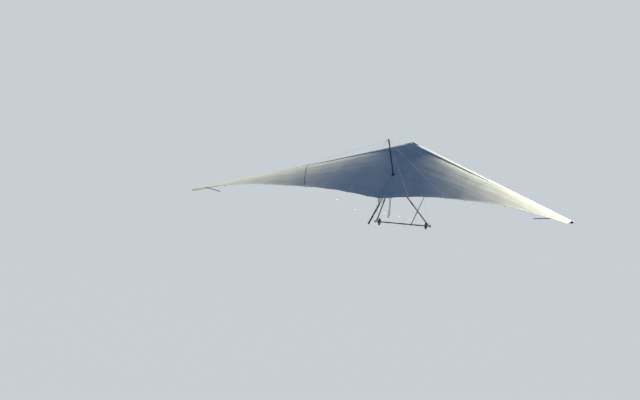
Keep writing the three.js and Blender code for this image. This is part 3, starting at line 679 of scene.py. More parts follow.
def metal(w, shader, place, base, rough, scuffs, worn=(0.5, 0.5, 0.5), metallic=1.0, coat=0.0):
    """Drawn or machined metal with fine grain, scuffs down to a paler layer and a little dust."""
    brushed = w.effect(brushed_group, place, 45.0, scuffs)
    dust = w.effect(grime_group, place, 7.0, 0.3)["Mask"]
    w.fill(
        shader,
        Base_Color=w.mix(dust, w.mix(brushed["Scuff"], base, worn), (0.2, 0.19, 0.17)),
        Metallic=metallic,
        Coat_Weight=coat,
        Coat_Roughness=0.2,
        Roughness=w.plus(w.plus(w.times(dust, 0.25), rough), brushed["Gloss"], True),
        Normal=w.bump(brushed["Height"], 0.12, 0.0003),
    )


def moulded(w, shader, place, base, rough, size, depth, scuffed, pale):
    """Moulded plastic or rubber: fine grain, scuffs and dust in the low places."""
    dust = w.effect(grime_group, place, 14.0, scuffed)["Mask"]
    w.fill(
        shader,
        Base_Color=w.mix(dust, base, pale),
        Roughness=w.plus(w.times(dust, 0.3), rough, True),
        Specular_IOR_Level=0.4,
        Normal=w.bump(w.noise(place, size, 2.0), 0.3, depth),
    )


def cable(w, shader, place, steel):
    """Stranded steel cable under a clear sleeve: strands wind round, so the pattern runs along each wire."""
    spot = w.split(place)
    strand = w.wave(w.plus(w.plus(spot["X"], spot["Y"]), spot["Z"]), 1400.0)
    dust = w.effect(grime_group, place, 20.0, 0.3)["Mask"]
    shade = w.mix(w.ease(strand, -1.0, 1.0, 0.0, 0.5), steel, dim(steel, 0.6))
    w.fill(
        shader,
        Base_Color=w.mix(dust, shade, (0.25, 0.23, 0.2)),
        Metallic=0.35,
        Coat_Weight=0.6,
        Coat_Roughness=0.12,
        Specular_IOR_Level=0.5,
        Roughness=w.ease(strand, -1.0, 1.0, 0.3, 0.42),
        Normal=w.bump(strand, 0.3, 0.0003),
    )


def webbing(w, shader, place, base):
    """Woven strap: ribs across, raised edges and contrasting stitching where it is sewn."""
    spot = w.split(w.flat("strap"))
    turn = 2 * math.pi
    rib = w.wave(spot["Y"], turn / 0.0022)
    twill = w.wave(w.plus(spot["X"], spot["Y"]), turn / 0.003)
    row = w.effect(rows_group, spot["X"], 0.008, 0.0, 0.0009)
    dashes = w.ease(w.wave(spot["Y"], turn / 0.005), -0.2, 0.2)
    sewn = w.math("MAXIMUM", w.ease(spot["Y"], 0.1, 0.102, 1.0, 0.0), w.ease(spot["Y"], 0.7, 0.702))
    stitches = w.times(w.times(row["Mask"], dashes), sewn)
    dust = w.effect(grime_group, place, 12.0, 0.4)["Mask"]
    shade = w.mix(dust, w.mix(w.ease(twill, -1.0, 1.0, 0.0, 0.6), base, dim(base, 1.8)), (0.12, 0.11, 0.1))
    ribs = w.plus(w.times(rib, 0.5), w.times(twill, 0.5))
    w.fill(
        shader,
        Base_Color=w.mix(stitches, shade, (0.62, 0.6, 0.55)),
        Roughness=0.85,
        Specular_IOR_Level=0.15,
        Normal=w.bump(w.plus(ribs, stitches), 0.35, 0.0005),
    )


def lens_glass(w, shader, place):
    smear = w.mix(w.noise(place, 90.0, 3.0, 0.6), (0.006, 0.008, 0.014), (0.02, 0.016, 0.03))
    w.fill(shader, Base_Color=smear, Roughness=0.06, Specular_IOR_Level=0.6)
    w.fill(shader, Coat_Weight=1.0, Coat_Roughness=0.03)


def floor_paint(w, shader, place, base):
    tone = w.mix(w.noise(place, 0.6, 2.0), dim(base, 0.985), dim(base, 1.015))
    w.fill(shader, Base_Color=tone, Roughness=0.9, Specular_IOR_Level=0.0)


# Each finish: its maker, then what the maker takes. A text names one of the settings
FINISHES = {
    "sail_top": (sail_cloth, "cloth.top_colour"),
    # The under side's outer part and its pocket take a dark olive colour that is painted shade.
    "sail_under": (sail_cloth, "cloth.top_colour", "cloth.under_colour"),
    "sail_tape": (plain_cloth, "cloth.top_colour", 0.05, 0.93),
    "seam_tape": (plain_cloth, "cloth.tape_colour", 0.0),
    "cover_cloth": (plain_cloth, "cloth.cover_colour"),
    # The keel pocket's colour is painted shade.
    "pocket_cloth": (plain_cloth, "cloth.pocket_colour"),
    "thread": (plain_cloth, (0.8, 0.8, 0.77), 0.0, 1.0, 1200.0, 0.3),
    "airframe_tube": (metal, "metal.tube_colour", 0.34, 0.3, (0.3, 0.31, 0.32), 0.85, 0.15),
    "bright_fitting": (metal, "metal.fitting_colour", 0.32, 0.5),
    "steel": (metal, (0.4, 0.4, 0.4), 0.4, 0.3),
    "grey_alloy": (metal, (0.13, 0.135, 0.14), 0.48, 0.5, (0.3, 0.3, 0.3), 0.9),
    "swage": (metal, (0.5, 0.4, 0.3), 0.38, 0.4),
    "wire": (cable, "metal.wire_colour"),
    "rubber": (moulded, "trim.rubber_colour", 0.72, 600.0, 0.0003, 0.3, (0.1, 0.096, 0.09)),
    "tyre": (moulded, "trim.rubber_colour", 0.78, 500.0, 0.0004, 0.6, (0.1, 0.09, 0.075)),
    "plastic": (moulded, "trim.plastic_colour", 0.46, 900.0, 0.0002, 0.25, (0.12, 0.12, 0.115)),
    "webbing": (webbing, "trim.webbing_colour"),
    "lens": (lens_glass,),
    "floor_paint": (floor_paint, "stage.floor_colour"),
}


def setting(label):
    group, name = label.split(".")
    return tuple(getattr(getattr(bpy.context.scene, "glider_" + group), name))


@cache
def finish(name):
    """A material by its name, made once."""
    material = bpy.data.materials.new(name)
    material.use_nodes = True
    w = Wiring(material.node_tree)
    maker, *given = FINISHES[name]
    given = [setting(value) if isinstance(value, str) else value for value in given]
    maker(w, material.node_tree.nodes["Principled BSDF"].inputs, w.node("TexCoord").outputs["Object"], *given)
    return material


# Places that follow from the tubes' axes, on the left
JUNCTION = edge_at(JUNCTION_X)
JUNCTION_HEADING = edge_heading(JUNCTION_X)
RUN = (JUNCTION - CROSSBAR_CENTRE).normalized()
RUN_AFT = vec(-RUN.y, RUN.x, 0).normalized()
UPPER_KNOB, LOWER_KNOB = (JUNCTION - RUN * 0.075 + RUN_AFT * 0.01 + UP * rise for rise in (0.022, -0.022))
STRUT_ROOT = toward(edge_at(STRUT_ROOT_X), STRUT_END, 0.0305)

# The pocket's section. Distances aft are from the leading edge's axis
POCKET_CREST = 0.118
POCKET_SLOPE = math.tan(math.radians(21))
DROP_END = 0.146
REJOIN_AFT = 0.4
GROOVE_AFT, GROOVE_HALF = 0.15, 0.012
ARC_STEPS = 20
ARC_LEAN = math.radians(36)  # steepest slope where the pocket's round front runs on into its top
HEM_STEPS = 4
FRONT_ROWS = 32
FRONT_REACH = 0.24
CHORD_STEPS = 88


# Sail
def batten_places():
    return spread(BATTEN_FIRST, BATTEN_LAST, BATTENS - 1)


def between_battens(x):
    """0 at a batten and 1 midway between two."""
    if x > BATTEN_LAST:
        return math.sin(math.pi * min(1.0, (x - BATTEN_LAST) / (SAIL_TIP_X - BATTEN_LAST))) ** 2
    if x < BATTEN_FIRST:
        return math.cos(math.pi * x / (2 * BATTEN_FIRST)) ** 2 * smoothstep(0.0, 0.1, x)
    return math.sin(math.pi * (x - BATTEN_FIRST) / BATTEN_STEP) ** 2


def rear_at(x):
    """Where the trailing edge lies: the table's line, drawn a little forward between the battens."""
    drawn_in = bpy.context.scene.glider_cloth.scallop * between_battens(x)
    return table_value(TRAILING_EDGE, x / HALF_SPAN, 1) - drawn_in


def sail_height(x, y):
    """Height of the cloth's under side, without its small shapes."""
    share, edge = x / HALF_SPAN, edge_at(x)
    rear_y, rear_z = (table_value(TRAILING_EDGE, share, column) for column in (1, 2))
    chord = rear_y - edge.y
    t = min(1.0, max(0.0, (y - edge.y) / chord))
    peak = ARCH_RISE / (ARCH_RISE + ARCH_FALL)
    arch = (t / peak) ** ARCH_RISE * ((1 - t) / (1 - peak)) ** ARCH_FALL
    camber = chord * table_value(CAMBER, share, 1) * arch
    return edge.z + (rear_z - edge.z) * t + camber + POCKET_HALF_HEIGHT * (1 - t) ** 4


def pocket_lift(x, aft):
    """The inner wing's pocket: an even slope to its crest, a short drop, and back to the wing's own curve."""
    edge_y, to_crest = edge_at(x).y, min(aft, POCKET_CREST)
    own_rise = sail_height(x, edge_y + to_crest) - sail_height(x, edge_y)
    proud = max(0.0, to_crest) * POCKET_SLOPE - own_rise
    drop = bpy.context.scene.glider_cloth.edge_swell * smoothstep(POCKET_CREST, DROP_END, aft)
    return (proud - drop) * (1 - smoothstep(DROP_END, REJOIN_AFT, aft))


def cloth_lift(x, aft, t):
    """Small shapes of the tight cloth: the pocket's swell, the groove behind it, billow and creases."""
    settings = bpy.context.scene.glider_cloth
    inboard = 1 - smoothstep(1.9, 2.8, x)
    clear_of_root = smoothstep(0.05, 0.3, x)
    groove = math.exp(-(((aft - GROOVE_AFT) / GROOVE_HALF) ** 2)) * inboard
    swell = min(1.0, max(0.0, aft / POCKET_CREST)) * (1 - smoothstep(POCKET_CREST, DROP_END, aft))
    pocket = inboard * pocket_lift(x, aft) + (1 - inboard) * 0.35 * settings.edge_swell * swell
    body = math.sin(math.pi * t) ** 0.7 if 0 < t < 1 else 0.0
    billow = settings.billow * between_battens(x) * body
    toward_tip = 0.25 + 0.75 * smoothstep(1.6, 3.4, x)
    crease = noise.noise(vec(x * 0.75, aft * 5.2, 3.1)) * smoothstep(0.06, 0.3, aft) * toward_tip
    tight = billow + settings.crease_depth * crease * body
    return (pocket - settings.groove_depth * groove + tight) * clear_of_root


def cloth_height(x, y, rear_y=None):
    """Height of the cloth's under side with its small shapes."""
    edge_y = edge_at(x).y
    chord = (rear_at(x) if rear_y is None else rear_y) - edge_y
    return sail_height(x, y) + cloth_lift(x, y - edge_y, (y - edge_y) / chord)


def under_point(x, aft):
    """A point on the sail's under face at a distance aft of the leading edge's axis."""
    y = edge_at(x).y + aft
    return vec(x, y, cloth_height(x, y))


def cloth_top(x, y):
    """Height of the cloth's upper face at any place near the centre line, with the centre tape on it."""
    return cloth_height(max(abs(x), SAIL_ROOT_X), y) + CLOTH_THICKNESS + 0.002


def aft_distance(row, depth):
    """How far aft a row of the sail lies: close rows over the pocket, then wider and wider ones."""
    front = min(FRONT_REACH, 0.45 * depth)
    if row <= FRONT_ROWS:
        return front * row / FRONT_ROWS
    return front + (depth - front) * ((row - FRONT_ROWS) / (CHORD_STEPS - FRONT_ROWS)) ** 1.2


def sail_section(x):
    """The cloth's inner line at one place on the span, as y and z: from the hem round the front and aft."""
    edge, rear_y = edge_at(x), rear_at(x)

    def top_at(y):
        return cloth_height(x, y, rear_y)

    heading = edge_heading(x)
    slack = 0.0005 + 0.0025 * smoothstep(2.9, 3.5, x)
    reach = EDGE_RADIUS / (heading.x / math.hypot(heading.x, heading.y)) + slack
    centre = edge.y - reach + POCKET_NOSE
    low = edge.z - POCKET_HALF_HEIGHT
    hem_y = edge.y + POCKET_DEPTH_ROOT + (POCKET_DEPTH_TIP - POCKET_DEPTH_ROOT) * x / HALF_SPAN
    hem = [(hem_y, top_at(hem_y) - 0.004), (edge.y + reach + 0.022, edge.z - 0.02)]
    hem += [(edge.y + reach - 0.005, low + 0.001), (centre, low)]
    points = lerp_path([Vector(p) for p in hem], HEM_STEPS)[:-1]
    lean = min(ARC_LEAN, math.atan((top_at(edge.y + 0.02) - top_at(edge.y)) / 0.02))
    top_from = centre - POCKET_NOSE * math.sin(lean)
    top_rise = (top_at(top_from) - edge.z) / math.cos(lean)
    for share in spread(0.0, 1.0, ARC_STEPS):
        angle = -math.pi / 2 - (math.pi - lean) * share
        rise = POCKET_HALF_HEIGHT + (top_rise - POCKET_HALF_HEIGHT) * smoothstep(0.6, 1.0, share)
        points.append(Vector((centre + POCKET_NOSE * math.cos(angle), edge.z + rise * math.sin(angle))))
    for row in range(1, CHORD_STEPS + 1):
        y = top_from + aft_distance(row, rear_y - top_from)
        points.append(Vector((y, top_at(y))))
    return points


def offset_line(points, distance):
    """The same line moved out, square to itself."""
    moved = []
    for k, point in enumerate(points):
        along = (points[min(k + 1, len(points) - 1)] - points[max(k - 1, 0)]).normalized()
        moved.append(Vector((point.x - along.y * distance, point.y + along.x * distance)))
    return moved


def cloth_shell(shape, columns, thickness, side, slots=(0, 1, 2), begin=0.0004):
    """A thin closed sheet over sections at rising x. A column is x, its inner line and both maps' values."""
    rows, count, start = len(columns[0][1]), len(columns), len(shape.points)
    for distance in (begin + thickness, begin):
        for x, line, *marks in columns:
            shape.add([vec(side * x, p.x, p.y) for p in offset_line(line, distance)], [], 0, *marks)
    lower = rows * count
    bands = [range(i * rows, (i + 1) * rows - 1) for i in range(count - 1)]
    skin = [(a, a + rows, a + rows + 1, a + 1) for band in bands for a in band]
    rim = [(a, a + rows) for i in range(count - 1) for a in (i * rows, (i + 1) * rows - 1)]
    rim += [(a, a + 1) for j in range(rows - 1) for a in (j, lower - rows + j)]
    rim = [(a, b, lower + b, lower + a) for a, b in rim]
    for faces, slot, lift in ((skin, slots[0], 0), (skin, slots[1], lower), (rim, slots[2], 0)):
        shape.faces += [tuple(start + lift + k for k in face) for face in faces]
        shape.slots += [slot] * len(faces)


def sail_stations():
    """Places along the span, with one on each batten and a few before the root."""
    inner = [SAIL_ROOT_X, 0.012, 0.026, 0.045, 0.075, 0.11, 0.15, 0.2, 0.25]
    between = 8
    outer = spread(BATTEN_FIRST, BATTEN_LAST, (BATTENS - 1) * between)
    return inner + outer + spread(BATTEN_LAST, SAIL_TIP_X, between)[1:]


def sail_columns():
    """The sail's sections and maps: one along the span and aft, one from the rear and over the seams."""
    columns = []
    front_row = HEM_STEPS * 3 + ARC_STEPS // 2
    for x in sail_stations():
        line = sail_section(x)
        run = [0.0]
        for before, after in zip(line, line[1:]):
            run.append(run[-1] + (after - before).length)
        run = [value - run[front_row] for value in run]
        seams = [(run[-1] - v, x + SEAM_LEAN * max(0.0, v)) for v in run]
        columns.append((x, line, [(x, v) for v in run], seams))
    return columns


def cut_away(made, cutters, sharp, place=PLACE):
    """Cuts each closed shape out of the object, and keeps the cut mesh alone."""
    tools = [build("cutter", cutter, place=place) for cutter in cutters]
    for tool in tools:
        trim = made.modifiers.new("cut", "BOOLEAN")
        trim.operation = "DIFFERENCE"
        trim.solver = "EXACT"
        trim.object = tool
    graph = bpy.context.evaluated_depsgraph_get()
    result = made.evaluated_get(graph)
    cut = bpy.data.meshes.new_from_object(result, preserve_all_data_layers=True, depsgraph=graph)
    made.modifiers.clear()
    old, made.data = made.data, cut
    bpy.data.meshes.remove(old)
    for tool in tools:
        bpy.data.objects.remove(tool)
    settle(cut, sharp)


def bore(start, end, radius, sides):
    """A round cutter."""
    shape = Shape()
    rod(shape, start, end, radius, sides)
    return shape


def post_hole():
    return bore(vec(0, KINGPOST_Y, 0.06), vec(0, KINGPOST_Y, 0.2), KINGPOST_RADIUS + 0.01, 32)


def sail_cutters(side):
    """Openings of one sail half: under the nose, round the kingpost and knob, wire slits and fittings."""
    nose, under = Shape(), Shape()
    block(nose, (0, 0.15, -0.035), (0.35, 0.5, 0.131), 0.02)
    turn = LEFT.rotation_difference(at(side, JUNCTION_HEADING) * side)
    offset = turn @ vec(side * -0.115, 0.122, -0.0325)
    block(under, at(side, JUNCTION) + offset, (0.46, 0.2, 0.135), 0.02, turn)
    nose_knob = bore(vec(0, NOSE_KNOB_TOP.y, 0.02), vec(0, NOSE_KNOB_TOP.y, 0.09), 0.015, 24)
    knob, root = at(side, UPPER_KNOB), at(side, STRUT_ROOT)
    wire_slit = bore(toward(knob, KINGPOST_TOP, 0.005), toward(knob, KINGPOST_TOP, 0.7), 0.009, 16)
    strut = bore(root, toward(root, at(side, STRUT_END), 0.22), STRUT_RADIUS + 0.007, 24)
    return nose, post_hole(), nose_knob, wire_slit, under, strut


def build_sail(name, side):
    shape = Shape()
    cloth_shell(shape, sail_columns(), CLOTH_THICKNESS, side)
    sail = build("sail_cloth_" + name, shape, "sail_top sail_under sail_tape", maps=("cloth", "edges"))
    cut_away(sail, sail_cutters(side), 50)
    return carry(sail, "sail_cloth", "sail_" + name)


def cloth_axes(x, aft, drift=0.0):
    """A place on the cloth's under side, and the ways along a strip that drifts sideways, across and up."""
    here = under_point(x, aft)
    along = (under_point(x + drift, aft + 0.01) - here).normalized()
    across = (under_point(x + 0.01, aft) - here).normalized()
    return here, along, across, across.cross(along).normalized()


def strip(shape, side, path, section):
    """A long strip: the section's pairs, across and up, at each place on the path with its half width."""
    rings = []
    for p, across, up, half in path:
        rings.append([at(side, p + across * (a * half) + up * b) for a, b in section])
    shape.skin(rings)


def build_batten_pockets(name, side):
    """Pockets sewn under the sail, each round its batten, with the batten's end at the trailing edge."""
    pockets, ends = Shape(), Shape()
    half_width, swell, hem, shoulder = 0.017, 0.0125, 0.0012, 0.004
    half_section = [(-1, -0.0004), (-1, -hem), (-0.5, -shoulder), (-0.25, -swell * 0.8)]
    section = half_section + [(0, -swell)] + [(-a, b) for a, b in reversed(half_section)]
    peg = [(0, 0), (0, 0.0052), (0.026, 0.0052), (0.027, 0.0066), (0.036, 0.0066), (0.041, 0.004), (0.042, 0)]
    half_loop = ((0.007, 0, 0), (0.012, -0.012, 0.006), (0.013, -0.028, 0.0135))
    loop = (*half_loop, (0, -0.034, 0.0165), *((-x, y, z) for x, y, z in reversed(half_loop)))
    for x in batten_places():
        path = []
        for k, aft in enumerate(spread(0.3, rear_at(x) - edge_at(x).y - 0.004, 40)):
            here, _, across, up = cloth_axes(x, aft)
            path.append((here, across, up, half_width * (0.55 + 0.45 * smoothstep(0, 2, k))))
        strip(pockets, side, path, section)
        tip, up = at(side, path[-1][0]), at(side, path[-1][2])
        heading = (tip - at(side, path[-2][0])).normalized()
        foot = tip - up * 0.0065 - heading * 0.012
        turned(ends, peg, foot, heading, 16)
        cord = [foot + heading * 0.031 + at(side, Vector(spot)) for spot in loop]
        sweep(ends, lerp_path(cord, 4), 0.0012, 6, 1)
    pocket = piece("batten_pockets_" + name, pockets, "sail_tape", "sail_cloth", sharp=60)
    piece("batten_ends_" + name, ends, "plastic thread", "plastic")
    return pocket


def build_trailing_tape(name, side):
    """A tape folded over the trailing edge."""
    shape = Shape()
    reach, gap, thick = 0.026, 0.0005, 0.0007
    top = CLOTH_THICKNESS + 0.0004
    section = [(-reach, top + gap + thick), (gap, top + gap + thick), (gap + thick, top + gap)]
    section += [(gap + thick, -gap), (gap, -gap - thick), (-reach, -gap - thick)]
    section += [(-reach, -gap), (gap, -gap), (gap, top + gap), (-reach, top + gap)]
    rings = []
    for x in sail_stations()[2:]:
        line = sail_section(x)
        along = (line[-1] - line[-4]).normalized()
        places = [line[-1] + along * a + Vector((-along.y, along.x)) * b for a, b in section]
        rings.append([vec(side * x, p.x, p.y) for p in places])
    shape.skin(rings)
    return piece("trailing_tape_" + name, shape, "sail_tape", "sail_cloth", sharp=30)


def build_dark_seam_strip(name, side):
    """A dark strip laid along one seam of a sail half, from behind the leading edge pocket to the trailing
    edge.
    """
    shape = Shape()
    start, steps, rise = 0.165, 60, CLOTH_THICKNESS + 0.0007
    path = []
    for k, share in enumerate(spread(0.0, 1.0, steps)):
        x = DARK_STRIP_AT - SEAM_LEAN * (start + share)
        aft = start + (rear_at(x) - edge_at(x).y - start - 0.012) * share
        here, along, _, up = cloth_axes(DARK_STRIP_AT - SEAM_LEAN * aft, aft, -0.0028)
        path.append((here, along.cross(up), up, 0.011 * (1.35 if k < 0.45 * steps else 1.0)))
    strip(shape, side, path, mirrored([(-1, rise), (-1, rise + 0.0006), (-0.8, rise + 0.001)]))
    piece("seam_tape_" + name, shape, "seam_tape", "sail_cloth", sharp=60)


def build_centre_tape():
    """A tape over the line where the sail halves meet, from behind the nose cover to the trailing edge."""
    shape = Shape()
    rings = []
    for y in spread(0.19, table_value(TRAILING_EDGE, 0, 1) - 0.03, 90):
        xs = (-0.034, -0.026, -0.014, -0.005, 0.0, 0.005, 0.014, 0.026, 0.034)
        tops = [vec(x, y, cloth_top(x, y)) for x in xs]
        rings.append(tops + [top - UP * 0.0008 for top in reversed(tops)])
    shape.skin(rings)
    tape = build("centre_tape", shape, "sail_tape", sharp=30)
    cut_away(tape, [post_hole()], 30)
    carry(tape, "sail_cloth")


def build_boot():
    """A rubber boot that closes the hole round the kingpost. Its flange lies on the cloth."""
    shape = Shape()
    level = cloth_top(0, KINGPOST_Y)
    # Beyond the kingpost's radius, above the cloth, and how closely the ring follows the cloth
    profile = [(0.011, 0.0005, 1.0), (0.03, 0.0005, 1.0), (0.03, 0.0024, 1.0), (0.015, 0.0036, 0.9)]
    profile += [(0.0085, 0.014, 0.5), (0.0035, 0.034, 0.0), (0.0025, 0.06, 0.0), (0.0006, 0.06, 0.0)]
    profile += [(0.0008, 0.034, 0.0), (0.0055, 0.013, 0.5)]
    rings = []
    for beyond, above, follow in profile:
        ring = ring_points(vec(0, KINGPOST_Y, 0), LEFT, AFT, KINGPOST_RADIUS + beyond, 40)
        rings.append([p + UP * (follow * cloth_top(p.x, p.y) + (1 - follow) * level + above) for p in ring])
    shape.skin(rings, True)
    piece("kingpost_boot", shape, "rubber", "rubber", sharp=50)


def build_nose_cover():
    """The cloth cover that wraps the nose, from below the tubes to the top of the pocket."""
    shape = Shape()
    first_row, last_row = HEM_STEPS * 2, HEM_STEPS * 3 + ARC_STEPS + 2
    xs = spread(SAIL_ROOT_X, COVER_HALF_WIDTH, 16)
    sections = [sail_section(x)[first_row : last_row + 1] for x in xs]
    columns = list(zip([0.0, *xs[1:]], sections))
    for side in (1, -1):
        cloth_shell(shape, columns, 0.0012, side, (0, 0, 0), 0.0034)
    cover = build("nose_cover_cloth", shape, "cover_cloth")
    work = bmesh.new()
    work.from_mesh(cover.data)
    middle = [f for f in work.faces if all(abs(v.co.x) < 1e-6 for v in f.verts)]
    bmesh.ops.delete(work, geom=middle, context="FACES")
    bmesh.ops.remove_doubles(work, verts=work.verts, dist=1e-5)
    work.to_mesh(cover.data)
    work.free()
    settle(cover.data, 50)
    return carry(cover, "cover_cloth", "nose_cover")


def build_keel_pocket():
    """The sleeve of cloth that hangs from the sail's centre line round the keel, open at the bottom seam."""
    shape = Shape()
    gap, thick = 0.0012, 0.0009
    rings = []
    for y in spread(FIN_FRONT_Y, table_value(TRAILING_EDGE, 0, 1), 30):
        top = sail_height(SAIL_ROOT_X, y) - 0.0006
        bulge = 0.004 + 0.0015 * math.sin(9 * y) + 0.001 * math.sin(23 * y)
        loop = []
        for beyond in (gap + thick, gap):
            radius = KEEL_RADIUS + beyond
            turns = [math.radians(angle) for angle in spread(-90, 55, 18)]
            half = [(radius * math.cos(a), radius * math.sin(a)) for a in turns]
            knee_x, knee_z = half[-1]
            for share in spread(0.0, 1.0, 6)[1:]:
                out = beyond + bulge * math.sin(math.pi * share)
                half.append((knee_x * (1 - share) ** 1.6 + out, knee_z + (top - knee_z) * share))
            whole = [(-x, z) for x, z in reversed(half[1:])] + half
            loop += whole if beyond > gap else reversed(whole)
        rings.append([vec(x, y, z) for x, z in loop])
    shape.skin(rings)
    return piece("keel_pocket_cloth", shape, "pocket_cloth", "pocket_cloth", "keel_pocket", sharp=60)


# Airframe
def tube(name, shape, node, sharp=30):
    piece(name, shape, "airframe_tube", "airframe_tube", node, sharp=sharp)


def build_keel():
    """The keel with its nose sleeve and rear sleeve, and the ribbed rubber cap on its end."""
    shape, cap = Shape(), Shape()
    nose, cap_from = KEEL_NOSE_RADIUS, KEEL_LENGTH - END_CAP_DEPTH
    tube_end = cap_from + 0.025
    sleeve_from, sleeve_to, sleeve_radius = REAR_SLEEVE
    profile = [(-0.012, 0), (-0.012, nose - 0.004), (-0.008, nose), (KEEL_NOSE_SLEEVE - 0.002, nose)]
    profile += [(KEEL_NOSE_SLEEVE, nose - 0.002), (KEEL_NOSE_SLEEVE, KEEL_RADIUS)]
    profile += barrel(sleeve_from, sleeve_to, sleeve_radius, 0.002, 0.001, KEEL_RADIUS)
    turned(shape, profile + [(tube_end, KEEL_RADIUS), (tube_end, 0)], ORIGIN, AFT, 48)
    rivet = [(0, 0), (0, 0.004), (0.0015, 0.003), (0.0018, 0)]
    for y in (sleeve_from + 0.02, sleeve_to - 0.02):
        for way in (1, -1):
            turned(shape, rivet, vec(0, y, way * (sleeve_radius - 0.0003)), UP * way, 12, 1)
    piece("keel_tube_turned", shape, "airframe_tube steel", "airframe_tube", "keel_tube", sharp=30)

    lip, outer = KEEL_RADIUS + TOUCH, END_CAP_RADIUS
    line = [(tube_end + TOUCH, 0), (tube_end + TOUCH, lip), (cap_from, lip), (cap_from, outer - 0.001)]
    line += ribbed(cap_from + 0.003, 0.009, 4, outer, ((0, 0), (0.006, 0), (0.007, 0.0012)))
    line.append((line[-1][0] + 0.0012, line[-1][1]))
    turned(cap, line + dome(KEEL_LENGTH, outer), ORIGIN, AFT, 48)
    piece("keel_cap_rubber", cap, "rubber", "rubber", "keel_end_cap", sharp=35)


def build_haul_back():
    """The crossbar's pull-back cables, one on each side of the kingpost, to their catch on the keel."""
    shape = Shape()
    catch = vec(0, 2.108, 0)
    for side in (1, -1):
        lug = CROSSBAR_CENTRE + vec(side * 0.022, 0.0224, 0.012)
        start, middle = lug + AFT * 0.0011, vec(side * 0.03, KINGPOST_Y, 0.056)
        end = catch + vec(side * 0.012, -0.004, 0.039)
        sweep(shape, lerp_path([start, middle, end], 6), 0.0016, 8)
        for near, far, share in ((start, middle, 0.28), (middle, end, 0.8)):
            turned(shape, barrel(0, 0.018, 0.0036), near.lerp(far, share), far - near, 12, 1)
        bolt(shape, lug, AFT, 0.0035, 2)
    turned(shape, barrel(-0.011, 0.011, 0.0275, 0.002, 0.001, KEEL_RADIUS + TOUCH), catch, AFT, 40, 2)
    block(shape, catch + UP * 0.035, (0.032, 0.012, 0.019), 0.002, slot=2)
    piece("haul_back_cables", shape, "wire swage bright_fitting", "wire")


def build_leading_edge(name, side):
    spar, plug = Shape(), Shape()
    sweep(spar, [at(side, edge_at(x)) for x in spread(EDGE_ROOT_X, HALF_SPAN, 64)], EDGE_RADIUS, 32)
    tube("leading_edge_tube_" + name, spar, "leading_edge_" + name)
    heading, r = at(side, edge_heading(HALF_SPAN)), EDGE_RADIUS
    line = [(0, 0), (0, r), (0.02, r), (0.027, r - 0.003), (0.0295, r - 0.009)]
    line += [(0.0295, 0.006), (0.026, 0.005), (0.026, 0)]
    turned(plug, line, at(side, edge_at(HALF_SPAN)) + heading * TOUCH, heading, 40)
    piece("tip_plug_" + name, plug, "plastic", "plastic", "leading_edge_cap_" + name, sharp=35)


def build_crossbar(name, side):
    bar, bolts = Shape(), Shape()
    inner = CROSSBAR_CENTRE + RUN * (CROSSBAR_INNER_X / RUN.x)
    length, r = (JUNCTION - RUN * CROSSBAR_END_GAP - inner).length, CROSSBAR_RADIUS
    profile = [(0, 0), (0, r - 0.006), (0.002, r - 0.0045), (0.07, r - 0.0045), (0.09, r - 0.001), (0.092, r)]
    profile += [(length - 0.001, r), (length, r - 0.001), (length, 0)]
    turned(bar, profile, at(side, inner), at(side, RUN), 40)
    tube("crossbar_tube_" + name, bar, "crossbar_" + name)
    up = RUN.cross(RUN_AFT).normalized()
    for way in (1, -1):
        for along in (0.132, 0.158):
            foot = JUNCTION - RUN * along + up * (way * (r + 0.0043))
            bolt(bolts, at(side, foot), at(side, up * way), 0.004)
    piece("junction_bolts_" + name, bolts, "steel", "bright_fitting")


def build_kingpost():
    post, cap, pins = Shape(), Shape(), Shape()
    foot, top, height, r = vec(0, KINGPOST_Y, 0), KINGPOST_TOP.z - 0.034, KINGPOST_TOP.z, KINGPOST_RADIUS
    turned(post, barrel(SOCKET_TOP + TOUCH, top, r), foot, UP, 40)
    tube("kingpost_tube", post, "kingpost")
    line = [(top + TOUCH, 0), (top + TOUCH, r), (height - 0.016, r + 0.001)]
    turned(cap, line + dome(height, CAP_KNOB_RADIUS, math.radians(-45), 14), foot, UP, 40)
    sweep(cap, ring_points(KINGPOST_TOP - UP * 0.012, LEFT, AFT, 0.019, 28), 0.0022, 8, 1, True)
    piece("kingpost_cap_moulded", cap, "plastic steel", "plastic", "kingpost_cap")
    for side in (1, -1):
        bolt(pins, foot + vec(side * 0.0203, 0, 0.052), LEFT * side, 0.004)
    piece("kingpost_pin", pins, "steel", "bright_fitting")


def build_nose_bolts():
    shape = Shape()
    for way in (1, -1):
        for x, y in ((0.06, 0.062), (-0.06, 0.062), (0.105, 0.098), (-0.105, 0.098), (0, 0.145)):
            bolt(shape, vec(x, y, way * PLATE_TOP), UP * way, 0.004)
    piece("nose_bolts", shape, "steel", "bright_fitting")


def build_strut(name, side):
    shape = Shape()
    root, end = at(side, STRUT_ROOT), at(side, STRUT_END)
    length, r = (end - root).length, STRUT_RADIUS
    profile = [(0, 0), (0, r - 0.001), (0.001, r), (length - 0.02, r), (length - 0.018, r - 0.0012)]
    profile += [(length - 0.003, r - 0.0012), (length, r - 0.004), (length, 0)]
    turned(shape, profile, root, end - root, 24)
    tube("washout_tube_" + name, shape, "washout_strut_" + name, 35)


# Control frame
def on_bar(x):
    """A place on the base bar's axis."""
    return vec(x, CORNER.y, CORNER.z)


def grip(shape, centre, axis, half, radius, hole, edge, margin, count, rib, sides):
    """A ribbed sleeve round a tube, laid out from its middle."""
    line = barrel(-half, half, radius, edge, bore=hole)
    ribs = ribbed(margin - half, 2 * (half - margin) / count, count, radius, rib)
    turned(shape, line[:3] + ribs + line[3:], centre, axis, sides)


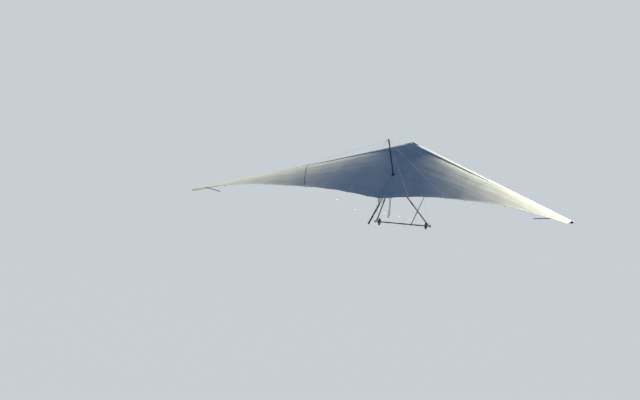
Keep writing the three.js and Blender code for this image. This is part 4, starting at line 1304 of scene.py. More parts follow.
def build_downtube(name, side):
    """One upright with its hand grip, and the pins through its ends."""
    drawn, sleeve, pins = Shape(), Shape(), Shape()
    top, corner, r = at(side, APEX), at(side, CORNER), DOWNTUBE_RADIUS
    start, end = toward(top, corner, DOWNTUBE_GAP), toward(corner, top, DOWNTUBE_GAP)
    axis = end - start
    turned(drawn, barrel(0, axis.length, r, 0.001, 0.0008), start, axis, 40)
    tube("downtube_drawn_" + name, drawn, "downtube_" + name)
    rib = ((0, 0), (0.001, 0.0009), (0.004, 0.0009), (0.005, 0))
    middle, half = top.lerp(corner, 0.5), GRIP_LENGTH / 2
    grip(sleeve, middle, axis, half, GRIP_RADIUS, r + TOUCH, 0.0015, 0.008, 9, rib, 40)
    piece("downtube_sleeve_" + name, sleeve, "rubber", "rubber", "downtube_grip_" + name, sharp=30)
    for place in (toward(start, end, 0.018), toward(end, start, 0.018)):
        for way in (1, -1):
            bolt(pins, place + AFT * (way * (r - 0.0004)), AFT * way, 0.0032)
    bolt(pins, vec(side * APEX.x, APEX.y + 0.0222, -0.033), AFT, 0.0035)
    piece("downtube_pins_" + name, pins, "steel", "bright_fitting")


def build_base_bar():
    bar, grips = Shape(), Shape()
    r = BAR_RADIUS
    turned(bar, barrel(-BAR_HALF, BAR_HALF, r, 0.001), on_bar(0), LEFT, 40)
    tube("base_bar_tube", bar, "base_bar")
    rib = ((0, 0), (0.0008, 0.0007), (0.002, 0.0007), (0.0028, 0))
    for x, half in ((-0.44, 0.075), (0, 0.105), (0.44, 0.075)):
        count = int(half * 2 / 0.012)
        grip(grips, on_bar(x), LEFT, half, r + 0.0032, r + TOUCH, 0.001, 0.004, count, rib, 36)
    piece("base_bar_grips", grips, "rubber", "rubber", sharp=30)


def build_bar_end(name, side):
    """The knob on the bar's end, and the collar that keeps the wheel in its place."""
    knob, collar = Shape(), Shape()
    out = LEFT * side
    line = [(0, 0), (0, 0.02), (0.0045, 0.0255), (0.008, 0.0275), (0.0105, 0.028), (0.019, 0.028)]
    line += [(0.0235, 0.0278), (0.028, 0.0255), (0.032, 0.0215), (0.034, 0.017), (0.034, 0.009)]
    turned(knob, line + [(0.0325, 0.008), (0.0325, 0)], on_bar(side * (BAR_HALF + TOUCH)), out, 40)
    piece("bar_knob_" + name, knob, "plastic", "plastic", "bar_end_knob_" + name, sharp=35)

    width = 0.018
    foot = on_bar(side * (WHEEL_X - WHEEL_WIDTH / 2 - WHEEL_PLAY - width))
    turned(collar, barrel(0, width, 0.019, 0.001, bore=BORE_RADIUS), foot, out, 36)
    screw = [(0, 0), (0, 0.0035), (0.002, 0.0035), (0.0026, 0.0028), (0.0026, 0.0014)]
    screw += [(0.001, 0.0014), (0.001, 0)]
    turned(collar, screw, foot + out * (width / 2) + UP * 0.0187, UP, 12, 1)
    finishes = "bright_fitting steel"
    piece("collar_turned_" + name, collar, finishes, "bright_fitting", "wheel_collar_" + name, sharp=35)


def build_wheel(name, side):
    """A moulded spoked wheel and its rubber tyre, laid out round its axle in the row frame."""
    tyre, wheel = Shape(), Shape()
    place = {"body": name + "_wheel", "place": ROW_FRAME}
    centre = vec(side * WHEEL_X, HUB_CENTRE.y, HUB_CENTRE.z)
    half, rim, tread, hub = WHEEL_WIDTH / 2, RIM_RADIUS, WHEEL_RADIUS, HUB_RADIUS
    wall = [(-half + 0.002, rim + TOUCH), (-half, rim + 0.003), (-half, rim + 0.008)]
    wall += [(-half + 0.0015, rim + 0.0125), (-half + 0.0045, tread - 0.0022), (-0.0092, tread - 0.0003)]
    wall += [(-0.0076, tread), (-0.0071, tread - 0.002), (-0.0053, tread - 0.002), (-0.0048, tread)]
    wall += [(-0.0014, tread), (-0.0009, tread - 0.002)]
    turned(tyre, mirrored(wall), centre, LEFT, 72)
    piece("tyre_rubber_" + name, tyre, "tyre", "tyre", "tyre_" + name, sharp=32, **place)

    line = [(-0.004, rim - 0.0085), (-0.011, rim - 0.007), (-0.014, rim - 0.0045)]
    turned(wheel, mirrored(line + [(-0.014, rim - 0.001), (-0.013, rim)]), centre, LEFT, 72)
    line = [(-half, BORE_RADIUS + 0.0004), (-half, hub - 0.004), (-half + 0.003, hub - 0.002), (-0.008, hub)]
    turned(wheel, mirrored(line), centre, LEFT, 48)
    bush = barrel(-half - 0.0002, half + 0.0002, BORE_RADIUS + 0.0024, bore=BORE_RADIUS)
    turned(wheel, bush, centre, LEFT, 40, 1)
    # Each ring of a spoke: its distance from the axle, and its half width and half thickness
    root, end = hub - 0.001, rim - 0.0075
    waist = [(root, 0.0095, 0.0085), (root + 0.012, 0.0068, 0.0062), ((root + end) / 2, 0.006, 0.0052)]
    waist += [(end - 0.008, 0.0068, 0.0058), (end, 0.0092, 0.0075)]
    corners = ((-1, -0.6), (-0.6, -1), (0.6, -1), (1, -0.6), (1, 0.6), (0.6, 1), (-0.6, 1), (-1, 0.6))
    for k in range(SPOKES):
        turn = Matrix.Rotation(2 * math.pi * k / SPOKES, 3, "X")
        wheel.skin([[centre + turn @ vec(b * t, a * w, r) for a, b in corners] for r, w, t in waist])
    piece("wheel_moulded_" + name, wheel, "plastic steel", "plastic", "wheel_" + name, sharp=38, **place)


# Rigging
def wire_ends():
    """Each stay: its node, then its two ends, each with the radius of its knob."""
    post = (KINGPOST_TOP, CAP_KNOB_RADIUS)
    yield "upper_front_wire", *post, NOSE_KNOB_TOP, KNOB_RADIUS
    yield "upper_rear_wire", *post, vec(0, REAR_FITTING_Y, REAR_KNOB_HEIGHT), KNOB_RADIUS
    for name, side in SIDES.items():
        corner = (at(side, CORNER + CORNER_KNOB), CORNER_KNOB_RADIUS)
        yield "upper_side_wire_" + name, *post, at(side, UPPER_KNOB), JUNCTION_KNOB
        yield "lower_side_wire_" + name, *corner, at(side, LOWER_KNOB), JUNCTION_KNOB
        yield "lower_front_wire_" + name, *corner, NOSE_KNOB_BOTTOM, KNOB_RADIUS
        yield "lower_rear_wire_" + name, *corner, vec(0, REAR_FITTING_Y, -REAR_KNOB_HEIGHT), KNOB_RADIUS


def build_wires():
    """Coated cable with a pressed sleeve and its folded-back tail near each end."""
    shrink = [(0, 0), (0, 0.0046), (0.001, 0.005), (0.022, 0.0048), (0.026, 0.002), (0.026, 0)]
    for node, start, start_radius, end, end_radius in wire_ends():
        shape = Shape()
        begin, finish_at = toward(start, end, start_radius + TOUCH), toward(end, start, end_radius + TOUCH)
        rod(shape, begin, finish_at, 0.0015, 10)
        axis = (finish_at - begin).normalized()
        beside, _ = side_axes(axis)
        for place, way in ((begin, axis), (finish_at, -axis)):
            turned(shape, barrel(0, 0.018, 0.0038, 0.0015, 0.0008), place + way * 0.03, way, 12, 1)
            tail = (place + way * 0.002 + beside * 0.0036, place + way * 0.056 + beside * 0.0032)
            rod(shape, *tail, 0.0015, 8)
            turned(shape, shrink, place + way * 0.05, way, 12, 2)
        piece(node + "_cable", shape, "wire swage plastic", "wire", node, sharp=35)


def build_luff_lines():
    """Light lines from the kingpost's top to the trailing edge at two battens a side, nearly straight."""
    shape = Shape()
    post = KINGPOST_TOP - UP * 0.012
    stud = [(0, 0), (0, 0.0045), (0.003, 0.0055), (0.0045, 0.003), (0.0045, 0)]
    for side in (1, -1):
        for index, bow in ((1, 0.03), (3, 0.035)):
            x = batten_places()[index]
            y = rear_at(x) - 0.03
            end = vec(side * x, y, sail_height(x, y) + 0.006)
            start = toward(post, end, 0.021)
            sink = UP * (2 * bow * (end - start).length)
            path = [start.lerp(end, share) - sink * (share * (1 - share)) for share in spread(0.0, 1.0, 28)]
            sweep(shape, path, 0.003, 8)
            turned(shape, stud, end - UP * 0.005, UP, 12, 1)
    piece("luff_lines", shape, "thread steel", "wire")


# Hang straps
def strap_path(centre, eye):
    """The webbing's line: over the keel, down one leg, round the eye and up the other leg.
    Each place has the way out of the webbing's face and the way of its width."""
    keel_up = (UP - KEEL_AXIS * UP.dot(KEEL_AXIS)).normalized()
    half = STRAP_THICKNESS / 2

    def loop(middle, radius, half_turn, top, wide):
        turns = [math.radians(angle) for angle in spread(-half_turn, half_turn, 20)]
        outs = [LEFT * math.sin(a) + top * math.cos(a) for a in turns]
        return [(middle + out * radius, out, wide) for out in outs]

    def leg(out, drops):
        wides = [KEEL_AXIS.lerp(AFT, smoothstep(0.03, 0.22, drop)).normalized() for drop in drops]
        return [(centre - UP * drop + out * (half + 0.0002), out, wide) for drop, wide in zip(drops, wides)]

    drops = spread(0.052, STRAP_LENGTH - 0.026, 16)
    path = loop(centre, KEEL_RADIUS + half + 0.0008, 120, keel_up, KEEL_AXIS) + leg(LEFT, drops)
    return path + loop(eye, STRAP_EYE + half + 0.0003, -150, -UP, AFT) + leg(-LEFT, drops[::-1])


def build_hang_strap(name, place_y):
    """Webbing looped over the keel, its two legs sewn together down to the eye, where its carabiner hangs."""
    shape, half = Shape(), STRAP_WIDTH / 2
    centre = PLACE @ vec(0, place_y, 0)
    eye = centre - UP * STRAP_LENGTH
    place = {"body": name + "_strap", "place": ROW_FRAME}
    section = ((-1, -1), (-1, 1), (-0.93, 1), (0.93, 1), (1, 1), (1, -1), (0.93, -1), (-0.93, -1))
    rings, marks = [], []
    for spot, out, wide in strap_path(centre, eye):
        rings.append([spot + wide * (a * half) + out * (b * STRAP_THICKNESS / 2) for a, b in section])
        marks += [(a * half, (centre - spot).length) for a, b in section]
    shape.skin(rings, True, 0, marks)
    node = "hang_strap_" + name
    piece("hang_webbing_" + name, shape, "webbing", "webbing", node, sharp=50, maps=("strap",), **place)
    build_carabiner(name, eye, place)


def build_carabiner(name, eye, place):
    """A closed ring with a ribbed screw sleeve on its gate, hanging in the strap's eye."""
    ring, r = Shape(), RING_RADIUS
    middle = eye - UP * (STRAP_EYE - r - TOUCH + RING_HEIGHT / 2)
    outline = []
    for corner, (aft, up) in enumerate(((1, 1), (-1, 1), (-1, -1), (1, -1))):
        bend = middle + AFT * (aft * (RING_WIDTH / 2 - RING_BEND)) + UP * (up * (RING_HEIGHT / 2 - RING_BEND))
        turns = [math.pi / 2 * (corner + share) for share in spread(0.0, 1.0, 6)]
        outline += [bend + AFT * (RING_BEND * math.cos(a)) + UP * (RING_BEND * math.sin(a)) for a in turns]
    sweep(ring, outline, r, 16, 0, True)
    gate = middle + AFT * (RING_WIDTH / 2)
    sleeve = barrel(0, 0.033, 0.0078, 0.0015, 0.0006, r + 0.0002)
    ribs = ribbed(0.004, 0.004, 6, 0.0078, ((0, 0), (0.001, 0.0005), (0.002, 0)))
    turned(ring, sleeve[:3] + ribs + sleeve[3:], gate - UP * 0.018, UP, 24, 1)
    for level in (-0.031, 0.0285):
        turned(ring, barrel(0, 0.0035, 0.0058, bore=r + 0.0001), gate + UP * level, UP, 20)
    node = "carabiner_" + name
    piece("carabiner_forged_" + name, ring, "grey_alloy plastic", "bright_fitting", node, **place)


# Camera boom
def build_boom():
    """The clamp on the base bar, the pole's three drawn sections and the camera on its end."""
    clamp, pole, camera = Shape(), Shape(), Shape()
    pivot = on_bar(BOOM_X)
    heading = vec(0, -BOOM_LENGTH, BOOM_RISE).normalized()
    up = LEFT.cross(heading).normalized()
    turned(clamp, barrel(-0.02, 0.02, 0.021, 0.0015, bore=BORE_RADIUS), pivot, LEFT, 40)
    stem = [(0.019, 0), (0.019, 0.0125), (0.03, 0.013), (0.056, 0.013), (0.0597, 0.0115), (0.0597, 0)]
    turned(clamp, stem, pivot, heading, 32)
    knob = [(0, 0), (0, 0.006), (0.008, 0.006), (0.0082, 0.0105), (0.018, 0.0105), (0.0195, 0.009)]
    for way, sides, slot in ((1, 10, 0), (-1, 6, 1)):
        foot = pivot + heading * 0.043 + up * (way * 0.0125)
        turned(clamp, knob + [(0.0195, 0)], foot, up * way, sides, slot)
    piece("boom_clamp_moulded", clamp, "plastic steel", "plastic", "boom_clamp", body="boom")

    end = BOOM_LENGTH - 0.03
    line = [(0.06, 0), (0.06, 0.0104), (0.0606, 0.011), (0.519, 0.011), (0.5195, 0.0125), (0.521, 0.014)]
    line += [(0.559, 0.014), (0.56, 0.013), (0.5605, 0.009), (0.959, 0.009), (0.9595, 0.0108), (0.961, 0.012)]
    line += [(0.994, 0.012), (0.995, 0.0108), (0.9955, 0.007), (end - 0.0006, 0.007), (end, 0.0064), (end, 0)]
    turned(pole, line, pivot, heading, 32)
    for along, reach in ((0.54, 0.0165), (0.978, 0.0145)):
        lever = pivot + heading * along + up * reach
        block(pole, lever, (0.011, 0.03, 0.009), 0.002, AFT.rotation_difference(heading), 1)
    piece("boom_pole_drawn", pole, "airframe_tube plastic", "plastic", "camera_boom", sharp=35, body="boom")

    centre = pivot + heading * (BOOM_LENGTH + 0.002)
    lens_at = centre + vec(0.012, 0.0145, 0)
    block(camera, centre, (0.058, 0.03, 0.042), 0.004, segments=3)
    hood = [(0, 0), (0, 0.0125), (0.004, 0.0125), (0.005, 0.011), (0.0085, 0.011), (0.0095, 0.0102)]
    turned(camera, hood + [(0.0095, 0.0088), (0.007, 0.008), (0.007, 0)], lens_at, AFT, 36)
    glass = [(0.0071, 0), (0.0071, 0.0078), (0.0078, 0.006), (0.0084, 0.003), (0.0086, 0)]
    turned(camera, glass, lens_at, AFT, 32, 1)
    block(camera, centre + vec(-0.014, 0.0154, 0.004), (0.02, 0.001, 0.02), 0.0004, slot=1)
    button = [(0, 0), (0, 0.0052), (0.0012, 0.0052), (0.0018, 0.0045), (0.0018, 0)]
    turned(camera, button, centre + vec(-0.016, 0, 0.0208), UP, 20)
    turned(camera, barrel(0, 0.0318, 0.006), pivot + heading * (BOOM_LENGTH - 0.0297), heading, 20)
    block(camera, centre - UP * 0.0225, (0.03, 0.02, 0.004))
    piece("boom_camera_moulded", camera, "plastic lens", "plastic", "boom_camera", body="boom")


# Fittings
def fitting(name, shape, node):
    piece(name, shape, "bright_fitting steel", "bright_fitting", node, sharp=35)


def drill(shape, part, hole):
    """Cuts a bore out of one closed part, and adds what is left to the shape."""
    work = build("part", part, place=ROW_FRAME)
    cut_away(work, [hole], 30, ROW_FRAME)
    shape.add([v.co.copy() for v in work.data.vertices], [tuple(f.vertices) for f in work.data.polygons])
    bpy.data.objects.remove(work)


def wire_knob(shape, origin, axis, start, reach, radius=KNOB_RADIUS, stem=0.006):
    """A collared stem that ends in a ball, for a stay's end."""
    line = [(start, 0), (start, 1.45 * stem), (start + 0.0015, 1.45 * stem), (start + 0.0025, stem)]
    turned(shape, line + dome(reach, radius, math.asin(stem / radius) - math.pi / 2), origin, axis, 28)


def plate(shape, outline, low, high):
    """A flat plate square to the z axis, with rounded corners and broken edges."""
    rounding, chamfer = 0.01, 0.0007
    rounded, shares = [], spread(0.0, 1.0, 5)
    for k, corner in enumerate(outline):
        before, after = outline[k - 1] - corner, outline[(k + 1) % len(outline)] - corner
        reach = min(rounding, 0.4 * before.length, 0.4 * after.length)
        start, end = corner + before.normalized() * reach, corner + after.normalized() * reach
        rounded += [(1 - t) ** 2 * start + 2 * t * (1 - t) * corner + t * t * end for t in shares]
    middle = sum(rounded, ORIGIN) / len(rounded)
    levels = ((low, chamfer), (low + chamfer, 0), (high - chamfer, 0), (high, chamfer))
    shape.skin([[toward(p, middle, inset) + UP * level for p in rounded] for level, inset in levels])


def keel_bore(y):
    return bore(vec(0, y - 0.2, 0), vec(0, y + 0.2, 0), KEEL_RADIUS + TOUCH, 64)


def build_rear_fitting():
    """A clamp ring on the keel, with a knob above and below for the rear stays."""
    shape, centre = Shape(), vec(0, REAR_FITTING_Y, 0)
    hole, outer, half = KEEL_RADIUS + TOUCH, 0.026, 0.022
    ring = [(-half, hole), (-half, outer - 0.0012), (-half + 0.0012, outer), (-0.011, outer)]
    turned(shape, mirrored(ring + [(-0.0105, outer - 0.0006)]), centre, AFT, 56)
    for way in (1, -1):
        wire_knob(shape, centre, UP * way, outer - 0.0012, REAR_KNOB_HEIGHT)
        bolt(shape, centre + LEFT * (way * (outer - 0.0008)), LEFT * way, 0.0035, 1)
    fitting("rear_stay_ring", shape, "keel_rear_fitting")


def build_nose_plates():
    half = [(0.014, 0.02), (0.15, 0.108), (0.132, 0.15), (0.034, 0.165)]
    outline = [vec(x, y, 0) for x, y in half + [(-x, y) for x, y in reversed(half)]]
    for name, way, knob in (("upper", 1, NOSE_KNOB_TOP), ("lower", -1, NOSE_KNOB_BOTTOM)):
        shape = Shape()
        plate(shape, outline, *sorted((way * PLATE_INNER, way * PLATE_TOP)))
        wire_knob(shape, vec(0, knob.y, 0), UP * way, PLATE_TOP - 0.0004, abs(knob.z))
        fitting("nose_plate_cut_" + name, shape, "nose_plate_" + name)


def build_kingpost_socket():
    """A saddle on the keel with the turned socket that holds the kingpost's foot."""
    shape, cup, saddle = Shape(), Shape(), Shape()
    foot, r, top = vec(0, KINGPOST_Y, 0), 0.021, SOCKET_TOP
    line = [(0.011, 0), (0.011, r), (0.06, r), (0.0605, r - 0.0008), (0.063, r - 0.0008), (0.0635, r)]
    turned(cup, line + [(top - 0.0015, r), (top, r - 0.0015), (top, 0)], foot, UP, 48)
    block(saddle, foot + UP * 0.017, (0.036, 0.08, 0.02), 0.002, segments=3)
    for part in (cup, saddle):
        drill(shape, part, keel_bore(KINGPOST_Y))
    for side in (1, -1):
        for aft in (-0.03, 0.03):
            bolt(shape, foot + vec(side * 0.0178, aft, 0.0185), LEFT * side, 0.0032, 1)
    fitting("kingpost_saddle", shape, "kingpost_socket")


def build_crossbar_hinge():
    """Two cheeks over a block on the keel, with a pinned tongue into each half of the crossbar."""
    shape, y = Shape(), CROSSBAR_CENTRE.y
    block(shape, (0, y, 0.0525), (0.036, 0.035, 0.0624), 0.002, segments=3)
    block(shape, (0, y, 0.0263), (0.054, 0.04, 0.01), 0.0015)
    for way in (1, -1):
        block(shape, (0, y + way * 0.0195, 0.058), (0.054, 0.005, 0.056), 0.0012)
        block(shape, (way * 0.031, y, CROSSBAR_CENTRE.z), (0.034, 0.014, 0.03), 0.0015)
        for side in (1, -1):
            bolt(shape, vec(side * 0.019, y + way * 0.0219, 0.05), AFT * way, 0.0038, 1)
    fitting("crossbar_hinge_block", shape, "crossbar_hinge")


def build_apex_bracket():
    """The head that straps the control frame to the keel, with a plug into each downtube."""
    shape, head = Shape(), Shape()
    block(head, (0, APEX.y, -0.033), (0.13, 0.044, 0.033), 0.003, segments=3)
    drill(shape, head, keel_bore(APEX.y))
    length = DOWNTUBE_GAP - TOUCH
    for side in (1, -1):
        top = at(side, APEX)
        line = [(0, 0), (0, 0.014), (length - 0.001, 0.014), (length, 0.013), (length, 0)]
        turned(shape, line, top, at(side, CORNER) - top, 40)
        for way in (1, -1):
            cheek = vec(side * 0.0285, APEX.y + way * 0.0215, -0.033)
            block(shape, cheek, (0.01, 0.003, 0.024), 0.0008)
            bolt(shape, cheek + AFT * (way * 0.0013), AFT * way, 0.003, 1)
    fitting("apex_head", shape, "apex_bracket")


def build_junction_bracket(name, side):
    """Half a collar on the leading edge, a web, and two cheeks over the crossbar's end."""
    shape, web = Shape(), Shape()
    inner, outer = EDGE_RADIUS + TOUCH, 0.0285
    turn = LEFT.rotation_difference(JUNCTION_HEADING)
    back, up = turn @ AFT, turn @ UP
    angles = [math.radians(angle) for angle in spread(-100, 100, 28)]
    rings = []
    for along, slack in ((-0.095, 0.0006), (-0.0944, 0), (-0.0056, 0), (-0.005, 0.0006)):
        line = [(outer - slack, a) for a in angles] + [(inner, a) for a in reversed(angles)]
        centre = JUNCTION + JUNCTION_HEADING * along
        rings.append([at(side, centre + (back * math.cos(a) + up * math.sin(a)) * r) for r, a in line])
    shape.skin(rings)

    reach, gap = JUNCTION_HEADING * 0.22, CROSSBAR_END_GAP
    hole = bore(at(side, JUNCTION - reach), at(side, JUNCTION + reach), inner, 48)
    lean = LEFT.rotation_difference(at(side, RUN) * side)
    middle = JUNCTION - RUN * ((gap + 0.026 - TOUCH) / 2)
    block(web, at(side, middle), (gap - 0.026 - TOUCH, 0.01, 0.0606), 0.0015, lean)
    drill(shape, web, hole)
    for way in (1, -1):
        cheek = at(side, JUNCTION - RUN * 0.1435) + lean @ UP * (way * (CROSSBAR_RADIUS + 0.002 + TOUCH))
        block(shape, cheek, (0.063, 0.04, 0.004), 0.0011, lean)
    for knob in (UPPER_KNOB, LOWER_KNOB):
        turned(shape, dome(0, JUNCTION_KNOB, -math.pi / 2, 14), at(side, knob), UP, 28)
    fitting("junction_clamp_" + name, shape, "junction_bracket_" + name)


def build_corner_bracket(name, side):
    """The sleeve round the base bar, a plug into the downtube and the knob of three stays."""
    shape, plug, lug = Shape(), Shape(), Shape()
    corner, out = at(side, CORNER), LEFT * side
    start = WHEEL_X + WHEEL_WIDTH / 2 + WHEEL_PLAY
    length, foot = BAR_HALF - start, on_bar(side * start)
    line = [(0, BORE_RADIUS), (0, 0.0178), (0.0012, 0.019), (0.012, 0.019), (0.0125, 0.0183), (0.015, 0.0183)]
    line += [(0.0155, 0.019), (length - 0.0012, 0.019), (length, 0.0178), (length, BORE_RADIUS)]
    turned(shape, line, foot, out, 48)

    r, end = DOWNTUBE_RADIUS - 0.001, DOWNTUBE_GAP - TOUCH
    line = [(0, 0), (0, r), (end - 0.012, r), (end - 0.0115, r - 0.0007), (end - 0.009, r - 0.0007)]
    line += [(end - 0.0085, r), (end - 0.001, r), (end, r - 0.001), (end, 0)]
    turned(plug, line, corner, at(side, APEX) - corner, 40)
    knob = at(side, CORNER_KNOB)
    wire_knob(lug, corner, knob, 0.0, knob.length, CORNER_KNOB_RADIUS, 0.008)
    for part in (plug, lug):
        drill(shape, part, bore(foot - out * 0.03, foot + out * (length + 0.03), BORE_RADIUS, 48))
    for way in (1, -1):
        bolt(shape, corner + AFT * (way * 0.0187), AFT * way, 0.0035, 1)
    fitting("corner_sleeve_" + name, shape, "corner_bracket_" + name)


# Settings
def number(name, text, value, unit="LENGTH"):
    return bpy.props.FloatProperty(name=name, description=text, default=value, unit=unit, precision=4)


def angle(name, text, degrees):
    return number(name, text, math.radians(degrees), "ROTATION")


def paint(name, text, *value):
    colour = {"subtype": "COLOR", "size": 3, "min": 0.0, "max": 1.0}
    return bpy.props.FloatVectorProperty(name=name, description=text, default=value, **colour)


class GliderCloth(bpy.types.PropertyGroup):
    """Sizes and colours of the sail and its covers."""

    top_colour: paint("Sail", "Cloth of the sail", 0.86, 0.852, 0.79)
    # The outer under side colour is painted shade: a dark olive for the shaded, ground-lit under side of the
    # pale cloth.
    under_colour: paint("Outer under side", "Cloth under the tips and the edge pocket", 0.27, 0.26, 0.15)
    cover_colour: paint("Nose cover", "Cloth over the nose", 0.82, 0.81, 0.75)
    # The keel pocket colour is painted shade: a blue-grey well below the sail's cloth, for a light grey-white
    # sleeve in shade.
    pocket_colour: paint("Keel pocket", "Cloth sleeve round the keel", 0.42, 0.46, 0.5)
    # Colour of the dark strip along one seam of the left half only; the right half has no such strip.
    tape_colour: paint("Seam tape", "Darker tape over one seam", 0.16, 0.17, 0.18)
    groove_depth: number("Groove", "Depth of the groove behind the leading edge pocket", 0.004)
    edge_swell: number("Pocket swell", "How far the pocket stands proud before the groove", 0.014)
    billow: number("Billow", "Rise of the cloth between two battens", 0.006)
    scallop: number("Scallop", "How far the trailing edge is drawn in between two battens", 0.016)
    crease_depth: number("Creases", "Height of the long creases towards the tips", 0.007)


class GliderMetal(bpy.types.PropertyGroup):
    """Colours of tubes, fittings and wires."""

    tube_colour: paint("Tubes", "Anodised airframe tubes", 0.035, 0.038, 0.044)
    fitting_colour: paint("Fittings", "Machined plates and brackets", 0.46, 0.47, 0.49)
    wire_colour: paint("Wires", "Coated steel stays", 0.72, 0.73, 0.73)


class GliderTrim(bpy.types.PropertyGroup):
    """Colours of rubber, plastic and webbing."""

    rubber_colour: paint("Rubber", "Grips, boot, tyres and keel cap", 0.022, 0.022, 0.023)
    plastic_colour: paint("Plastic", "Wheels, knobs and camera boom", 0.03, 0.031, 0.034)
    webbing_colour: paint("Webbing", "Hang straps", 0.03, 0.031, 0.036)


class GliderStage(bpy.types.PropertyGroup):
    """Floor, light and camera."""

    floor_colour: paint("Floor", "Plain floor", 0.397, 0.425, 0.5165)
    backdrop_colour: paint("Backdrop", "Plain background beyond the floor", 0.578, 0.624, 0.658)
    fill_colour: paint("Fill light", "Soft light from all round", 0.036, 0.093, 0.222)
    key_strength: number("Key light", "Strength of the soft key light from ahead of the nose", 9.0, "NONE")
    key_colour: paint("Key colour", "Warm tone of the key light", 1.0, 0.968, 0.741)
    key_softness: angle("Key softness", "Apparent width of the key light", 9)
    camera_azimuth: angle("Camera azimuth", "Direction of the camera round the glider", 197.85)
    camera_distance: number("Camera distance", "From the glider's middle to the camera", 40.0)
    camera_height: number("Camera height", "Of the camera above the floor", 0.03)
    camera_pan: angle("Camera pan", "How far the camera turns off the middle", 2.83)
    camera_tilt: angle("Camera tilt", "How far the camera tips off the middle", -1.1)
    camera_roll: angle("Camera roll", "Bank of the camera about its line of sight", 5.25)
    camera_focal: number("Camera focal length", "In widths of the picture", 1478.5 / 640, "NONE")


# Operators
class GLIDER_OT_stage(bpy.types.Operator):
    """Make the floor, the light and the camera"""

    bl_idname = "glider.stage"
    bl_label = "Stage"

    def execute(self, context):
        settings = context.scene.glider_stage
        build_camera(settings)
        build_light(settings)
        build_floor()
        return {"FINISHED"}


class GLIDER_OT_airframe(bpy.types.Operator):
    """Make keel, leading edges, crossbar, kingpost and washout struts"""

    bl_idname = "glider.airframe"
    bl_label = "Airframe tubes"

    def execute(self, context):
        build_keel()
        build_haul_back()
        build_kingpost()
        build_nose_bolts()
        for name, side in SIDES.items():
            build_leading_edge(name, side)
            build_crossbar(name, side)
            build_strut(name, side)
        return {"FINISHED"}


class GLIDER_OT_fittings(bpy.types.Operator):
    """Make the plates, brackets, saddle, hinge and stay knobs"""

    bl_idname = "glider.fittings"
    bl_label = "Fittings"

    def execute(self, context):
        build_rear_fitting()
        build_nose_plates()
        build_kingpost_socket()
        build_crossbar_hinge()
        build_apex_bracket()
        for name, side in SIDES.items():
            build_junction_bracket(name, side)
            build_corner_bracket(name, side)
        return {"FINISHED"}


class GLIDER_OT_control_frame(bpy.types.Operator):
    """Make downtubes, base bar, grips and end knobs"""

    bl_idname = "glider.control_frame"
    bl_label = "Control frame"

    def execute(self, context):
        build_base_bar()
        for name, side in SIDES.items():
            build_downtube(name, side)
            build_bar_end(name, side)
        return {"FINISHED"}


class GLIDER_OT_wheels(bpy.types.Operator):
    """Make both wheels with their tyres"""

    bl_idname = "glider.wheels"
    bl_label = "Wheels"

    def execute(self, context):
        for name, side in SIDES.items():
            build_wheel(name, side)
        return {"FINISHED"}


class GLIDER_OT_rigging(bpy.types.Operator):
    """Make the stays and the luff lines"""

    bl_idname = "glider.rigging"
    bl_label = "Rigging"

    def execute(self, context):
        build_wires()
        build_luff_lines()
        return {"FINISHED"}


class GLIDER_OT_straps(bpy.types.Operator):
    """Make the hang straps and their carabiners"""

    bl_idname = "glider.straps"
    bl_label = "Hang straps"

    def execute(self, context):
        for name, place in STRAP_PLACES.items():
            build_hang_strap(name, place)
        return {"FINISHED"}


class GLIDER_OT_boom(bpy.types.Operator):
    """Make the camera boom"""

    bl_idname = "glider.boom"
    bl_label = "Camera boom"

    def execute(self, context):
        build_boom()
        return {"FINISHED"}


class GLIDER_OT_sail(bpy.types.Operator):
    """Make both sail halves with their battens, tapes and boot"""

    bl_idname = "glider.sail"
    bl_label = "Sail"

    def execute(self, context):
        for name, side in SIDES.items():
            sail = build_sail(name, side)
            sewn_on = [build_batten_pockets(name, side), build_trailing_tape(name, side)]
        build_dark_seam_strip("left", SIDES["left"])
        build_centre_tape()
        build_boot()
        return {"FINISHED"}


class GLIDER_OT_covers(bpy.types.Operator):
    """Make the nose cover and the keel pocket"""

    bl_idname = "glider.covers"
    bl_label = "Nose cover and keel pocket"

    def execute(self, context):
        build_nose_cover()
        build_keel_pocket()
        return {"FINISHED"}


class GLIDER_PT_build(bpy.types.Panel):
    """Lists the operators and the settings."""

    bl_label = "Hang glider"
    bl_idname = "GLIDER_PT_build"
    bl_space_type = "VIEW_3D"
    bl_region_type = "UI"
    bl_category = "Glider"

    def draw(self, context):
        for operator in OPERATORS:
            self.layout.operator(operator.bl_idname)
        for label in SETTINGS:
            settings = getattr(context.scene, label)
            for name in settings.__annotations__:
                self.layout.prop(settings, name)


# Stage
def build_camera(settings):
    """Behind the glider and to its right, close to the floor, banked as the glider is in its picture."""
    azimuth, distance, roll = settings.camera_azimuth, settings.camera_distance, settings.camera_roll
    place = vec(distance * math.sin(azimuth), -distance * math.cos(azimuth), settings.camera_height)
    sight = UP * GLIDER_MIDDLE - place
    yaw = math.atan2(sight.y, sight.x) + settings.camera_pan
    tilt = math.atan2(sight.z, math.hypot(sight.x, sight.y)) + settings.camera_tilt
    ahead = vec(math.cos(yaw) * math.cos(tilt), math.sin(yaw) * math.cos(tilt), math.sin(tilt))
    right = ahead.cross(UP).normalized()
    up = right.cross(ahead)
    banked_right = math.cos(roll) * right + math.sin(roll) * up
    banked_up = math.cos(roll) * up - math.sin(roll) * right
    lens = bpy.data.cameras.new("camera")
    lens.sensor_width = 36
    lens.lens = settings.camera_focal * lens.sensor_width
    lens.clip_end = 2000
    camera = bpy.data.objects.new("camera", lens)
    turn = Matrix((banked_right, banked_up, -ahead)).transposed().to_4x4()
    camera.matrix_world = Matrix.Translation(place) @ turn
    bpy.context.scene.collection.objects.link(camera)
    bpy.context.scene.camera = camera


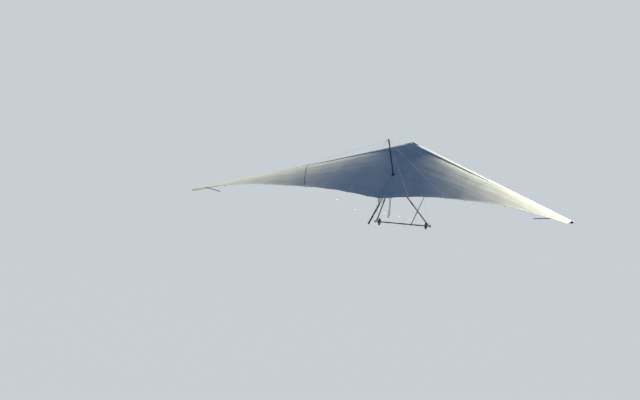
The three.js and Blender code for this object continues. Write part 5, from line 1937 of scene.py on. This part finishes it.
def build_light(settings):
    """A soft key light from ahead of the nose, in line with the keel, and a cool fill from all round."""
    bpy.context.scene.view_settings.view_transform = "Standard"
    key = bpy.data.lights.new("key_light", "SUN")
    key.energy = settings.key_strength
    key.angle = settings.key_softness
    key.color = settings.key_colour
    lamp = bpy.data.objects.new("key_light", key)
    lamp.rotation_mode = "QUATERNION"
    lamp.rotation_quaternion = KEY_FROM.to_track_quat("Z", "Y")
    bpy.context.scene.collection.objects.link(lamp)

    world = bpy.data.worlds.new("studio")
    bpy.context.scene.world = world
    world.use_nodes = True
    w = Wiring(world.node_tree)
    fill, seen = world.node_tree.nodes["Background"], w.node("Background")
    w.fill(fill.inputs, Color=(*settings.fill_colour, 1.0))
    w.fill(seen.inputs, Color=(*settings.backdrop_colour, 1.0))
    in_view = w.node("LightPath").outputs["Is Camera Ray"]
    w.blend(in_view, fill.outputs[0], seen.outputs[0], "World Output")


def build_floor():
    shape = Shape()
    shape.add(ring_points(UP * -0.0006, LEFT, AFT, 500.0, 96), [tuple(range(96))])
    build("floor", shape, "floor_paint", ROW_FRAME)


OPERATORS = (
    GLIDER_OT_stage,
    GLIDER_OT_airframe,
    GLIDER_OT_fittings,
    GLIDER_OT_control_frame,
    GLIDER_OT_wheels,
    GLIDER_OT_rigging,
    GLIDER_OT_straps,
    GLIDER_OT_boom,
    GLIDER_OT_sail,
    GLIDER_OT_covers,
)
SETTINGS = {
    "glider_cloth": GliderCloth,
    "glider_metal": GliderMetal,
    "glider_trim": GliderTrim,
    "glider_stage": GliderStage,
}
CLASSES = (*SETTINGS.values(), *OPERATORS, GLIDER_PT_build)


def register():
    for cls in CLASSES:
        bpy.utils.register_class(cls)
    for label, cls in SETTINGS.items():
        setattr(bpy.types.Scene, label, bpy.props.PointerProperty(type=cls))


def unregister():
    for label in SETTINGS:
        delattr(bpy.types.Scene, label)
    for cls in reversed(CLASSES):
        bpy.utils.unregister_class(cls)


def main():
    register()
    bpy.ops.glider.stage()
    bpy.ops.glider.airframe()
    bpy.ops.glider.fittings()
    bpy.ops.glider.control_frame()
    bpy.ops.glider.wheels()
    bpy.ops.glider.rigging()
    bpy.ops.glider.straps()
    bpy.ops.glider.boom()
    bpy.ops.glider.sail()
    bpy.ops.glider.covers()


if __name__ == "__main__":
    main()
